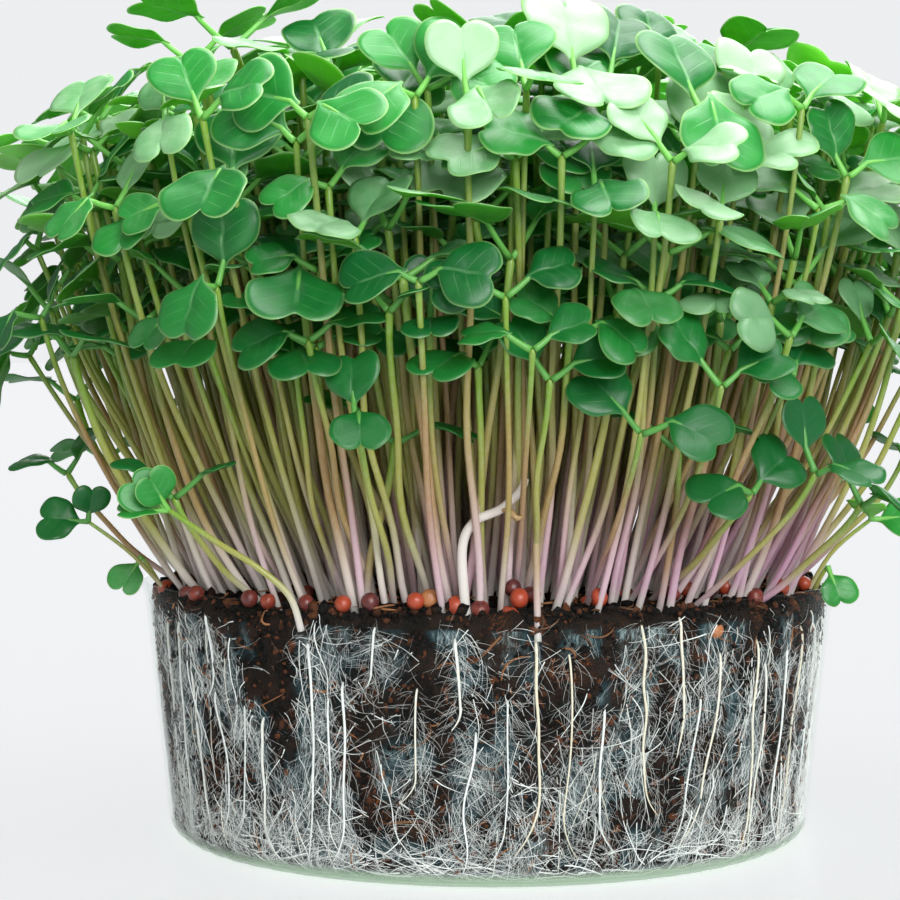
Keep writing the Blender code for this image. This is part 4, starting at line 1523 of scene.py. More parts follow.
@dataclass
class Roots:
    """White roots between the mix and the wall: mains, side roots, a fuzz of hairs and a low mat."""

    sizes: TubSizes = TUB
    main_rings: int = 44
    main_sides: int = 7
    main_girths: Pair = (0.12, 0.24)
    main_depths: Pair = (0.25, 0.6)
    main_tones: Pair = (0.1, 0.9)
    main_waves: tuple[Pair, ...] = ((4.0, 11.0), (1.2, 3.0))
    main_sways: tuple[Pair, ...] = ((0.3, 1.3), (0.04, 0.22))
    main_hook: float = 3.4
    kinds: tuple[RootKind, ...] = (
        RootKind(
            "roots_down", 150, Heading.DOWN, (10.0, 39.0), (6.0, 26.0), (0.05, 0.12), 0.05,
            tones=(0.0, 0.8), rings=26, sides=5, patchy=0.5,
        ),
        RootKind(
            "roots_side", 700, Heading.SLANTING, (4.0, 38.5), (4.0, 14.0), (0.045, 0.10), 0.04,
            tones=(0.0, 0.5), rings=20, sides=5, end_share=0.15, patchy=0.55, curl=0.11,
        ),
        RootKind(
            "rootlets", 4200, Heading.STEEP, (2.5, 39.0), (3.0, 11.0), (0.024, 0.056), 0.04,
            tones=(0.0, 0.3), end_share=0.2, patchy=0.9, curl=0.15, tuft=6,
        ),
        RootKind(
            "rootlets_loose", 1300, Heading.STEEP, (3.0, 39.0), (2.0, 7.0), (0.024, 0.050), 0.05,
            tones=(0.0, 0.3), end_share=0.2, patchy=0.3, curl=0.20,
        ),
        RootKind(
            "root_hairs", 13000, Heading.STEEP, (2.0, 39.0), (3.0, 9.0), (0.009, 0.020), 0.05,
            tones=(0.0, 0.3), depths=(0.15, 1.1), rings=7, sides=3, patchy=1.0, curl=0.16, tuft=9,
        ),
        RootKind(
            "root_mat", 400, Heading.LEVEL, (1.1, 5.2), (6.0, 20.0), (0.04, 0.12), 0.06, rings=26, sides=5,
            end_share=0.2, curl=0.12,
        ),
        RootKind(
            "root_mat_hairs", 3600, Heading.ANY, (1.1, 8.0), (3.0, 9.0), (0.016, 0.042), 0.05,
            tones=(0.0, 0.3), rings=8, sides=3, curl=0.25, tuft=6,
        ),
    )
    piece_faces: int = 190_000
    fringe_count: int = 5400
    fringe_lengths: Pair = (1.2, 5.0)
    fringe_girths: Pair = (0.010, 0.022)
    fringe_rings: int = 6
    fringe_sides: int = 3

    def wander(
        self, rng: Generator, start: Runs, heading: Array,
        length: Array, rings: int, drift: float, bend: Array,
    ) -> Runs:
        """Paths that wander over the wall.

        Args:
            rng: The source of random draws.
            start: The angle round the tub and the height where each path starts.
            heading: Each path's first heading, 0 being round the tub and a quarter turn up.
            length: Each path's length in millimetres.
            rings: How many points a path has.
            drift: How strongly a path turns.
            bend: How far each path bends one way, in radians for each millimetre.

        Returns:
            The angle and the height of every point, shaped paths by points.
        """
        count = len(length)
        turns = np.cumsum(rng.normal(0, drift, (count, rings)), axis=1)
        way = heading[:, None] + turns - turns[:, :1]
        step = (length / (rings - 1))[:, None]
        way = way + bend[:, None] * step * np.arange(rings)[None]
        around = start[0][:, None] + np.cumsum(step * np.cos(way) / self.sizes.wall_top_radius, axis=1)
        height = start[1][:, None] + np.cumsum(step * np.sin(way), axis=1)
        return around, height

    def first_heading(self, heading: Heading, count: int, rng: Generator) -> Array:
        """The first headings of a number of roots, in radians."""
        down = np.full(count, -np.pi / 2)
        if heading is Heading.DOWN:
            return down + rng.normal(0, 0.16, count)
        if heading is Heading.SLANTING:
            return down + rng.choice([-1, 1], count) * rng.uniform(0.15, 1.35, count)
        if heading is Heading.LEVEL:
            return rng.choice([0, np.pi], count) + rng.normal(0, 0.25, count)
        if heading is Heading.STEEP:
            return down * rng.choice([-1, 1], count) + rng.normal(0, 0.62, count)
        return rng.uniform(0, 2 * np.pi, count)

    def paths_of(self, kind: RootKind, rng: Generator) -> Runs:
        """The paths of a kind of root, and the thickness at each of their points."""
        rings = kind.rings
        tufts = kind.count // kind.tuft
        count = tufts * kind.tuft
        loose = float(kind.tuft > 1)
        angles = np.repeat(rng.uniform(0, 2 * np.pi, tufts), kind.tuft) + loose * rng.normal(0, 0.012, count)
        heights = np.repeat(rng.uniform(*kind.heights, tufts), kind.tuft) + loose * rng.normal(0, 0.6, count)
        heading = np.repeat(self.first_heading(kind.heading, tufts, rng), kind.tuft)
        heading += loose * rng.normal(0, 0.22, count)
        bend = np.repeat(rng.uniform(-kind.curl, kind.curl, tufts), kind.tuft) * rng.uniform(0.5, 1.3, count)
        lengths = rng.uniform(*kind.lengths, count)
        around, height = self.wander(rng, (angles, heights), heading, lengths, rings, kind.drift, bend)
        way = np.linspace(0, 1, rings)[None]
        inset = self.sizes.wall + rng.uniform(*kind.depths, (count, 1))
        inset = inset + kind.dip * np.sin(way * 3 * np.pi + rng.uniform(0, 6, (count, 1)))
        inset += np.exp(-way / 0.06) * (kind.heading is Heading.DOWN)
        inset = np.maximum(inset, self.sizes.wall + 0.12)
        paths = self.sizes.on_wall(around, np.clip(height, 1.05, 39.4), inset)
        girth = rng.uniform(*kind.girths, count)[:, None] * np.linspace(1, kind.end_share, rings)[None]
        below = height.max(axis=1) < 38.9 + rng.uniform(-3, 0.4, count)
        if kind.heading is not Heading.DOWN:
            paths, girth, count = paths[below], girth[below], int(below.sum())
        if kind.patchy:
            kept = fuzz_at(paths[:, rings // 2]) > rng.uniform(0, kind.patchy, count)
            paths, girth = paths[kept], girth[kept]
        return paths, girth

    def main_paths(self, rng: Generator) -> Runs:
        """The paths of the main roots, and the thickness at each of their points."""
        rows = main_root_rows()
        column = (len(rows), 1)
        way = np.linspace(0, 1, self.main_rings)[None]
        height = rows[:, 1:2] + (rows[:, 2:3] - rows[:, 1:2]) * way
        waves = [rng.uniform(*lengths, column) for lengths in self.main_waves]
        aside = np.zeros_like(height)
        for wave, reaches in zip(waves, self.main_sways):
            aside += rng.uniform(*reaches, column) * np.sin(height / wave + rng.uniform(0, 6, column))
        hook = rng.uniform(-self.main_hook, self.main_hook, column)
        aside += hook * np.clip((way - 0.75) / 0.25, 0, 1) ** 2
        around = rows[:, :1] + aside / WALL_MIDDLE
        inset = self.sizes.wall + rng.uniform(*self.main_depths, column) + 0.9 * np.exp(-way / 0.04)
        paths = self.sizes.on_wall(around, np.clip(height, 1.2, 38.3), inset)
        taper = np.interp(way[0], (0, 0.04, 0.8, 1), (0.75, 1.0, 0.75, 0.30))
        return paths, rng.uniform(*self.main_girths, column) * taper[None]

    def fringe_of(self, paths: Array, rng: Generator) -> Runs:
        """Short hairs that stand off the main roots.

        Args:
            paths: The paths of the main roots.
            rng: The source of random draws.

        Returns:
            The paths of the hairs, and the thickness at each of their points.
        """
        count, rings = self.fringe_count, self.fringe_rings
        chosen = paths[rng.integers(0, len(paths), count), rng.integers(0, paths.shape[1], count)]
        angles = np.arctan2(chosen[:, 1], chosen[:, 0])
        side = rng.choice([-1, 1], count)
        heading = -np.pi / 2 + side * rng.uniform(0.35, 1.7, count)
        lengths = rng.uniform(*self.fringe_lengths, count)
        bend = side * rng.uniform(-0.30, 0.10, count)
        around, height = self.wander(rng, (angles, chosen[:, 2]), heading, lengths, rings, 0.05, bend)
        inset = self.sizes.wall + rng.uniform(0.15, 0.5, (count, 1))
        hairs = self.sizes.on_wall(around, np.clip(height, 1.05, 37.4), inset)
        return hairs, np.repeat(rng.uniform(*self.fringe_girths, count)[:, None], rings, axis=1)

    def piece(
        self, name: str, runs: Runs, sides: int, tone: Array, finish: Material
    ) -> None:
        """Makes one piece of tubes and puts it on the object.

        Args:
            name: The name of the piece.
            runs: The paths and the thickness at each of their points.
            sides: The sides of a tube.
            tone: A tone for each path, from white at 0 to cream at 1.
            finish: The material.
        """
        paths, radii = runs
        aside = unit(paths.mean(axis=1) * np.array([1.0, 1.0, 0.0]))
        points, faces = tubes(paths, radii, aside, sides)
        rings = paths.shape[1]
        values = np.repeat(tone[:, None], rings, axis=1)
        parts = MeshParts()
        parts.add(points, faces, root=tube_values([values, values, values], rings, sides))
        install(parts.make(name, finish), ["root_net"])

    def build(self) -> None:
        """Makes all the roots, a kind with too many faces for one piece in several."""
        rng = np.random.default_rng(SEED + 21)
        finish = RootFinish().build()
        mains = self.main_paths(rng)
        tones = rng.uniform(*self.main_tones, len(mains[0]))
        self.piece("roots_main", mains, self.main_sides, tones, finish)
        fringe = self.fringe_of(mains[0], rng)
        tones = rng.uniform(0, 0.3, len(fringe[0]))
        self.piece("root_fringe", fringe, self.fringe_sides, tones, finish)
        for kind in self.kinds:
            paths, radii = self.paths_of(kind, rng)
            tones = rng.uniform(*kind.tones, len(paths))
            shares = -(-2 * paths.shape[0] * paths.shape[1] * kind.sides // self.piece_faces)
            for number, chosen in enumerate(np.array_split(np.arange(len(paths)), shares)):
                name = kind.name if shares == 1 else f"{kind.name}_{number + 1}"
                runs = paths[chosen], radii[chosen]
                self.piece(name, runs, kind.sides, tones[chosen], finish)


# Seed coats

@dataclass
class SeedCoats:
    """Round seed coats: some where the CAD model has them, and those that the front shows."""

    sites: list[Vector]
    rows: int = 12
    columns: int = 18
    clusters: tuple[Triple, ...] = (
        (-50.0, -10.0, 37.8), (-48.6, -13.5, 38.4), (-42.5, -27.0, 38.9), (-44.3, -24.0, 38.6),
        (-33.8, -37.4, 39.2), (-31.0, -39.3, 39.0), (-25.3, -43.2, 39.1), (-20.0, -46.2, 39.3),
        (-16.2, -47.4, 39.7), (-9.9, -49.0, 40.0), (-8.0, -48.4, 40.3), (-4.4, -49.3, 39.4),
        (-1.1, -49.4, 38.9), (3.1, -49.4, 37.9), (4.3, -48.6, 40.4), (6.0, -47.2, 40.8),
        (3.4, -46.2, 41.6), (15.3, -46.4, 40.3), (28.2, -36.5, 40.6), (26.0, -38.6, 40.2),
        (34.2, -31.0, 40.4), (42.8, -24.0, 39.6), (38.4, -30.6, 38.9), (47.6, -14.0, 39.4),
    )
    tan_seed: Triple = (32.3, -40.3, 35.6)
    outward: float = 1.014
    lift: float = 0.55
    sizes: Pair = (0.86, 1.08)
    reds: Pair = (0.25, 1.30)
    tan_share: float = 0.05

    def build(self) -> None:
        """Makes all the seed coats as one piece and puts it on the object."""
        rng = np.random.default_rng(SEED + 31)
        centres = [
            (spot.x, spot.y, top_height(*spot) + SEED_RISE) for spot in seed_places(self.sites)
        ]
        parts = MeshParts()
        proud = [(self.outward * x, self.outward * y, z + self.lift) for x, y, z in self.clusters]
        for place in [*centres, *proud]:
            radius = SEED_RADIUS * rng.uniform(*self.sizes)
            tan = float(rng.uniform(0, 1) < self.tan_share)
            self.add_coat(parts, np.array(place), radius, (float(rng.uniform(*self.reds)), tan), rng)
        self.add_coat(parts, np.array(self.tan_seed), SEED_RADIUS, (0.8, 1.0), rng)
        install(parts.make("seed_coats", SeedFinish().build()), ["soil"])

    def add_coat(
        self, parts: MeshParts, centre: Array, radius: float, look: Pair,
        rng: Generator,
    ) -> None:
        """Adds one coat, a little uneven and dented.

        Args:
            parts: The mesh that it is added to.
            centre: Its middle.
            radius: Its radius.
            look: How red it is and how tan, both from 0 to 1.
            rng: The source of its unevenness.
        """
        rise = np.linspace(-np.pi / 2, np.pi / 2, self.rows + 2)[1:-1]
        turn = np.arange(self.columns) * 2 * np.pi / self.columns
        up, around = np.meshgrid(rise, turn, indexing="ij")
        ball = round_axis(np.cos(up), around, np.sin(up))
        ball = np.concatenate([ball.reshape(-1, 3), [[0, 0, -1], [0, 0, 1]]])
        spot = unit(rng.normal(0, 1, 3))
        dent = np.exp(-((1 - ball @ spot) / 0.18) ** 2)
        furrow = np.exp(-((ball @ unit(rng.normal(0, 1, 3))) / 0.10) ** 2)
        reach = 1 - 0.12 * dent - 0.04 * furrow
        squash = rng.uniform(0.9, 1.06, 3)
        points = centre + ball * reach[:, None] * squash * radius
        parts.add(points, lathe_faces(self.rows, self.columns), coat=np.array([*look, 0.0]))


# Leaves and stems

class LeafCut(Enum):
    """How deeply a leaf's tip is notched."""

    SHALLOW = 0.885
    MIDDLE = 0.84
    DEEP = 0.79


@dataclass
class LeafPattern:
    """The fine outline and the grid of points that every leaf is bent from."""

    cut: LeafCut
    rings: int = 6
    steps: int = 2
    hub: float = 0.47
    half: tuple[Pair, ...] = (
        (-0.16, 0.022), (-0.09, 0.042), (-0.01, 0.10), (0.08, 0.22), (0.18, 0.345), (0.32, 0.445),
        (0.50, 0.495), (0.68, 0.497), (0.84, 0.445), (0.95, 0.345), (1.0, 0.22), (0.965, 0.11),
        (0.90, 0.035),
    )

    def outline(self) -> Array:
        """The smooth outline, from the neck along one side to the notch and back."""
        knots = [*self.half, (self.cut.value, 0.0), *((u, -v) for u, v in reversed(self.half))]
        return smooth_path(knots, self.steps)

    def grid(self) -> tuple[Array, Array, list[Array]]:
        """The flat leaf.

        Returns:
            The places of one side's points, their shares of the way to the edge, and the
            faces of both sides with the edge between them.
        """
        outline = self.outline()
        count = len(outline)
        hub = np.array([self.hub, 0.0])
        shares = (np.arange(1, self.rings + 1) / self.rings) ** 0.85
        places = np.concatenate([hub + (outline - hub) * share for share in shares] + [hub[None]])
        margins = np.concatenate([np.full(count, share) for share in shares] + [[0.0]])
        wall, caps = lathe_faces(self.rings, count)
        fan = caps[:count]
        total = len(places)
        j = np.arange(count)
        after = (j + 1) % count
        edge = (self.rings - 1) * count + np.stack([j, after, after + total, j + total], axis=-1)
        return places, margins, [
            np.concatenate([wall, wall[:, ::-1] + total, edge]),
            np.concatenate([fan, fan[:, ::-1] + total]),
        ]


@dataclass
class Foliage:
    """Fine leaves and stems, made from the frames of the settled seedlings."""

    thickness: float = 0.42
    stem_rings: int = 18
    stem_sides: int = 8
    petiole_rings: int = 10
    petiole_sides: int = 6
    root_depth: float = 3.5
    skew: float = 0.17
    # Depth below the canopy's top, in millimetres, at which a leaf's painted shade is full.
    painted_shade_depth: float = 45.0
    wave: float = 0.28
    wave_width: float = 12.0
    groove: float = 0.30
    groove_half: float = 0.7
    puffs: Pair = (-0.02, 0.05)
    edge_rolls: Pair = (-0.10, 0.03)
    patterns: list[tuple[Array, Array, list[Array]]] = field(
        default_factory=lambda: [LeafPattern(cut).grid() for cut in LeafCut]
    )

    def add_leaf(
        self, parts: MeshParts, leaf: LeafFrame, tone: float, rng: Generator, shade: float = 1.0
    ) -> None:
        """Adds a blade with its petiole and rib.

        Args:
            parts: The mesh that it is added to.
            leaf: Where it sits.
            tone: Its paleness, from 0 to 1; for the crop's leaves it also holds painted light from above and
                from the right.
            rng: The source of its unevenness.
            shade: How much painted shade it gets for standing low in the canopy, from 0 to 1.
        """
        places, margins, faces = self.patterns[rng.integers(len(self.patterns))]
        u, v = places[:, 0], places[:, 1]
        skew = rng.uniform(-self.skew, self.skew)
        v = v * (1 + 0.45 * skew * np.sign(v) * np.clip(4 * np.abs(v), 0, 1))
        u = u * (1 + skew * np.clip(v, -0.5, 0.5))
        origin, along, across, normal = (
            np.array(item) for item in (leaf.origin, leaf.along, leaf.across, leaf.normal)
        )
        below = canopy_height(leaf.origin) - leaf.origin.z
        # Painted shade: the deeper the leaf lies below the canopy's top, the darker it is painted.
        depth = shade * float(np.clip(below / self.painted_shade_depth, 0, 1))
        waves = np.sin(np.arctan2(v, u - 0.47) * rng.integers(3, 6) + rng.uniform(0, 6.28))
        lift = leaf.width * leaf.cup * 2 * v**2 - leaf.length * leaf.droop * u**2
        lift += self.wave * waves * margins**3 * leaf.width / self.wave_width
        groove = np.exp(-((v * leaf.width / self.groove_half) ** 2)) * np.clip(1 - u / 0.85, 0, 1)
        lift -= self.groove * groove
        puff = leaf.width * rng.uniform(*self.puffs)
        lift += puff * (1 - (2 * np.abs(v) - 0.5) ** 2) * margins * (1 - margins) * 4
        lift += leaf.length * rng.uniform(*self.edge_rolls) * np.clip(margins - 0.75, 0, 1) ** 2 * 4
        half = 0.5 * self.thickness * np.sqrt(np.clip(1.03 - margins**4, 0.02, 1))
        flat = origin + np.outer(u * leaf.length, along) + np.outer(v * leaf.width, across)
        top = flat + np.outer(lift + half, normal)
        low = flat + np.outer(lift - half, normal)
        blade = np.stack([u, v, margins], axis=-1)
        tint = np.concatenate([
            np.tile([1.0, tone, depth], (len(u), 1)), np.tile([0.0, tone, depth], (len(u), 1)),
        ])
        parts.add(np.concatenate([top, low]), faces, blade=np.concatenate([blade, blade]), tint=tint)
        self.add_petiole(parts, leaf, tone, depth)

    def add_petiole(self, parts: MeshParts, leaf: LeafFrame, tone: float, depth: float) -> None:
        """Adds the leaf's stalk, which goes on as a rib under the blade.

        Args:
            parts: The mesh that it is added to.
            leaf: The leaf that it carries.
            tone: The leaf's paleness.
            depth: How much painted shade the leaf gets for lying deep in the canopy, from 0 to 1.
        """
        start, origin, along, normal = (
            np.array(item) for item in (leaf.start, leaf.origin, leaf.along, leaf.normal)
        )
        rings = self.petiole_rings
        stalk = rings // 2 + 1
        run = origin - start
        t = np.linspace(0, 1, stalk)[:, None]
        bend = np.linalg.norm(run) * 0.10
        sag = UP_ROW * bend * 4 * t * (1 - t) * 0.4
        lower = start + run * t - normal * (self.thickness * 0.5 * t**2) - sag
        u = np.linspace(0, 0.62, rings - stalk + 1)[1:]
        lift = -leaf.length * leaf.droop * u**2 - self.thickness * 0.42
        upper = origin + np.outer(u * leaf.length, along) + np.outer(lift, normal)
        path = np.concatenate([lower, upper])
        girth = np.concatenate([np.linspace(0.50, 0.38, stalk), np.linspace(0.34, 0.10, rings - stalk)])
        points, faces = tubes(path[None], girth[None], np.array(leaf.across)[None], self.petiole_sides)
        blade = np.tile([0.02, 0.0, 0.3], (points.shape[1], 1))
        # The stalk gets part of the leaf's painted shade.
        tint = np.tile([0.0, 0.5 + 0.5 * tone, depth * 0.6], (points.shape[1], 1))
        parts.add(points, faces, blade=blade, tint=tint)

    def add_stem(
        self, parts: MeshParts, seedling: Seedling, look: Triple, rng: Generator
    ) -> None:
        """Adds a stem from inside the mix to the fork.

        Args:
            parts: The mesh that it is added to.
            seedling: The seedling that it belongs to.
            look: How tan it is and how lilac at the foot, both from 0 to 1, and its radius.
            rng: The source of its small bends.
        """
        tone, blush, girth = look
        shares = np.linspace(0, 1, self.stem_rings) ** 1.15
        path = seedling.path.points(shares)
        sway = np.sin(np.pi * shares) ** 0.8 * (1.2 - shares)
        for axis in range(2):
            turns = rng.uniform(0.6, 1.7)
            reach = rng.uniform(0.1, 0.9) * sway
            path[:, axis] += reach * np.sin(2 * np.pi * turns * shares + rng.uniform(0, 6.28))
        foot = path[0]
        down = unit(foot - path[1])
        below = foot + down * self.root_depth
        top = path[-1] + unit(path[-1] - path[-2]) * 0.7
        path = np.concatenate([below[None], path, top[None]])
        along = np.concatenate([[0.0], shares, [1.0]])
        radii = girth * (1.08 - 0.14 * along + 0.18 * np.exp(-((1 - along) / 0.03) ** 2))
        radii[0] = girth * 0.8
        radii[-1] = girth * 0.55
        aside = np.array([[1.0, 0.12, 0.0]])
        points, faces = tubes(path[None], radii[None], aside, self.stem_sides)
        rings = len(along)
        value = tube_values(
            [along[None], np.full((1, rings), tone), np.full((1, rings), blush)], rings, self.stem_sides
        )
        parts.add(points, faces, stalk=value)


def canopy_height(place: Vector) -> float:
    """Height of the top of the leaves above a place."""
    return CANOPY_TOP + LEAVES_ABOVE - dome_fall(math.hypot(place.x, place.y))


@dataclass
class Crop:
    """The whole crop: the CAD model's seedlings and finer filling ones between them."""

    clumps: list[Clump]
    sectors: int = 14
    centre_radius: float = 14.0
    fillers: int = 640
    filler_tries: int = 24000
    filler_gap: float = 1.15
    filler_clearance: float = -0.15
    filler_shares: Pair = (0.60, 0.76)
    foot_reach: float = 49.0
    stem_faces: int = 14
    stem_girth: float = 0.53
    filler_girth: float = 0.46
    filler_depths: Pair = (-3.0, 30.0)
    filler_low_share: float = 0.08
    filler_lowest: float = 52.0
    filler_widths: Pair = (9.5, 14.0)
    inner_share: float = 0.50
    inner_depths: Pair = (5.0, 34.0)
    inner_widths: Pair = (7.5, 11.5)
    filler_petioles: Pair = (2.4, 4.6)
    filler_tilts: Pair = (5.0, 55.0)
    low_corner: Vector = field(default_factory=Vector)
    high_corner: Vector = field(default_factory=Vector)

    def sector_of(self, place: Vector) -> int:
        """The number of the slice of the crop that a place is in, the middle being the last."""
        if math.hypot(place.x, place.y) < self.centre_radius:
            return self.sectors
        turn = math.atan2(place.y, place.x) / (2 * math.pi) % 1
        return int(turn * self.sectors) % self.sectors

    def fits(self, points: Sequence[Vector]) -> bool:
        """Whether a shape in millimetres stays inside the CAD model's box."""
        for axis in range(3):
            values = [point[axis] for point in points]
            if min(values) < self.low_corner[axis] or max(values) > self.high_corner[axis]:
                return False
        return True

    def filler_sprig(self, rng: random.Random, inner: bool) -> Sprig:
        """A filling seedling's fork and leaves.

        Args:
            rng: The source of random draws.
            inner: Whether it is one of the small ones deep among the others.

        Returns:
            The place and the size of what it carries.
        """
        if inner:
            reach = FORK_REACH * rng.uniform(0, 1) ** 0.45
            place = on_circle(reach, rng.uniform(0, 360), 0)
            dome = CANOPY_TOP - dome_fall(reach)
            rises = [rng.uniform(*RISES) for _ in range(2)]
            depth = rng.uniform(*self.inner_depths)
            width = rng.uniform(*self.inner_widths)
            return Sprig(place.x, place.y, dome - depth, rng.uniform(0, 360), *rises, width)
        reach = (FORK_REACH + 4) * rng.uniform(0, 1) ** 0.42
        place = on_circle(reach, rng.uniform(0, 360), 0)
        dome = CANOPY_TOP - dome_fall(reach)
        low, high = self.filler_depths
        if rng.uniform(0, 1) < self.filler_low_share:
            high = self.filler_lowest
        depth = low + (high - low) * rng.uniform(0, 1) ** 1.3
        rises = [rng.uniform(*RISES) for _ in range(2)]
        width = rng.uniform(*self.filler_widths) * (1 - 0.25 * max(0.0, depth) / high)
        return Sprig(place.x, place.y, dome - depth, rng.uniform(0, 360), *rises, width)

    def face_outwards(self, seedling: Seedling, rng: random.Random) -> None:
        """Shortens a filling seedling's petioles and tips its leaves towards the light outside."""
        fork = seedling.path.knots[3]
        outward = math.degrees(math.atan2(fork.y, fork.x))
        share = min(1.0, math.hypot(fork.x, fork.y) / FORK_REACH)
        low, high = self.filler_tilts
        tilt = low + (high - low) * share**2 * rng.uniform(0.3, 1.15)
        rises, rolls = [], []
        for k, heading in enumerate((seedling.turn, seedling.turn + 180 + seedling.skew)):
            away = math.radians(heading - outward)
            rises.append(seedling.rises[k] - tilt * math.cos(away))
            rolls.append(seedling.rolls[k] + tilt * math.sin(away))
        seedling.rises = tuple(rises)
        seedling.rolls = tuple(rolls)
        seedling.petioles = tuple(rng.uniform(*self.filler_petioles) for _ in range(2))

    def grow_fillers(self) -> list[Seedling]:
        """Filling seedlings that touch no other, the inner ones no leaf of another."""
        low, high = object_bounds()
        self.low_corner, self.high_corner = Vector(low) / MM, Vector(high) / MM
        standing = []
        blades = []
        for clump in self.clumps:
            for seedling in clump.seedlings:
                shape, _ = seedling.shape()
                standing.append(Standing.of(shape))
                blades.append(Standing.of(shape, self.stem_faces))
        feet = [seedling.path.knots[0].to_2d() for clump in self.clumps for seedling in clump.seedlings]
        rng = random.Random(SEED + 41)
        grown: list[Seedling] = []
        for number in range(self.filler_tries):
            inner = number > self.filler_tries * (1 - self.inner_share)
            sprig = self.filler_sprig(rng, inner)
            share = rng.uniform(*self.filler_shares)
            shift = on_circle(rng.uniform(0, 3), rng.uniform(0, 360), 0).to_2d()
            site = Vector((sprig.x, sprig.y)) * share + shift
            if site.length > self.foot_reach or any((site - foot).length < self.filler_gap for foot in feet):
                continue
            foot = Vector((*site, soil_height(*site)))
            seedling = Seedling(sprig, foot, sprig.turn, rng, 0.1)
            self.face_outwards(seedling, rng)
            shape, _ = seedling.shape(self.filler_clearance)
            if not self.fits(shape.points):
                continue
            newcomer = Standing.of(shape, self.stem_faces)
            if any(newcomer.touches(other) for other in (blades if inner else standing)):
                continue
            standing.append(Standing.of(shape))
            blades.append(newcomer)
            feet.append(site)
            grown.append(seedling)
            if len(grown) == self.fillers:
                break
        LOG.info("filling seedlings grown: %d of %d", len(grown), self.fillers)
        return grown

    def build(self) -> None:
        """Makes the leaves and the stems, sector by sector, and puts them on the object."""
        leaf_finish = LeafFinish().build()
        stem_finish = StemFinish().build()
        foliage = Foliage()
        count = self.sectors + 1
        leaves = [MeshParts() for _ in range(count)]
        stems = [MeshParts() for _ in range(count)]
        nodes: list[list[str]] = [[] for _ in range(count)]
        everyone = []
        for clump in self.clumps:
            sector = self.sector_of(clump.site)
            nodes[sector].append(clump.node)
            everyone += [(sector, seedling, self.stem_girth) for seedling in clump.seedlings]
        for seedling in self.grow_fillers():
            everyone.append((self.sector_of(seedling.path.knots[0]), seedling, self.filler_girth))
        rng = np.random.default_rng(SEED + 42)
        for sector, seedling, girth in everyone:
            fork = seedling.path.knots[3]
            # Painted light: the beta draw is random tone, scaled down for low forks so that low leaves look
            # shaded, and raised on the right above 74 mm as if lit from there.
            tone = float(rng.beta(1.25, 1.35)) * float(np.clip((fork.z - 54) / 34, 0.0, 1.15))
            tone = min(1.0, tone + 0.34 * float(np.clip(fork.x / 60, 0, 1)) * (fork.z > 74))
            blush = float(np.clip(rng.uniform(-0.15, 0.75) + 0.35 * (fork.x / 60), 0, 1))
            girth *= rng.uniform(0.85, 1.12)
            foliage.add_stem(stems[sector], seedling, (float(rng.uniform(0, 1)), blush, girth), rng)
            _, frames = seedling.shape()
            for leaf in frames:
                foliage.add_leaf(leaves[sector], leaf, float(np.clip(tone + rng.normal(0, 0.12), 0, 1)), rng)
        Strays().build(leaf_finish, stem_finish)
        for number in range(count):
            if nodes[number]:
                leaf_piece = leaves[number].make(f"leaves_{number + 1:02}", leaf_finish)
                install(leaf_piece, nodes[number])
                stem_piece = stems[number].make(f"stems_{number + 1:02}", stem_finish)
                install(stem_piece, nodes[number])


@dataclass
class Standing:
    """A plain shape that stands already, with its box and search tree."""

    tree: BVHTree
    low: Triple
    high: Triple

    @classmethod
    def of(cls, shape: Shape, left_out: int = 0) -> "Standing":
        """The box and tree of a shape, with its first faces left out on request."""
        xs, ys, zs = zip(*shape.points)
        tree = BVHTree.FromPolygons(shape.points, shape.faces[left_out:])
        return cls(tree, (min(xs), min(ys), min(zs)), (max(xs), max(ys), max(zs)))

    def touches(self, other: "Standing") -> bool:
        """Whether two shapes touch."""
        for axis in range(3):
            if self.low[axis] > other.high[axis] or self.high[axis] < other.low[axis]:
                return False
        return bool(self.tree.overlap(other.tree))


# Single odd seedlings that the photograph shows

@dataclass(frozen=True)
class Stray:
    """A lone stem through chosen points, in millimetres, with any leaves that it carries."""

    path: tuple[Triple, ...]
    girth: float
    tan: float
    blush: float
    paleness: float = 0.5
    leaves: tuple[tuple[Triple, Triple, float], ...] = ()


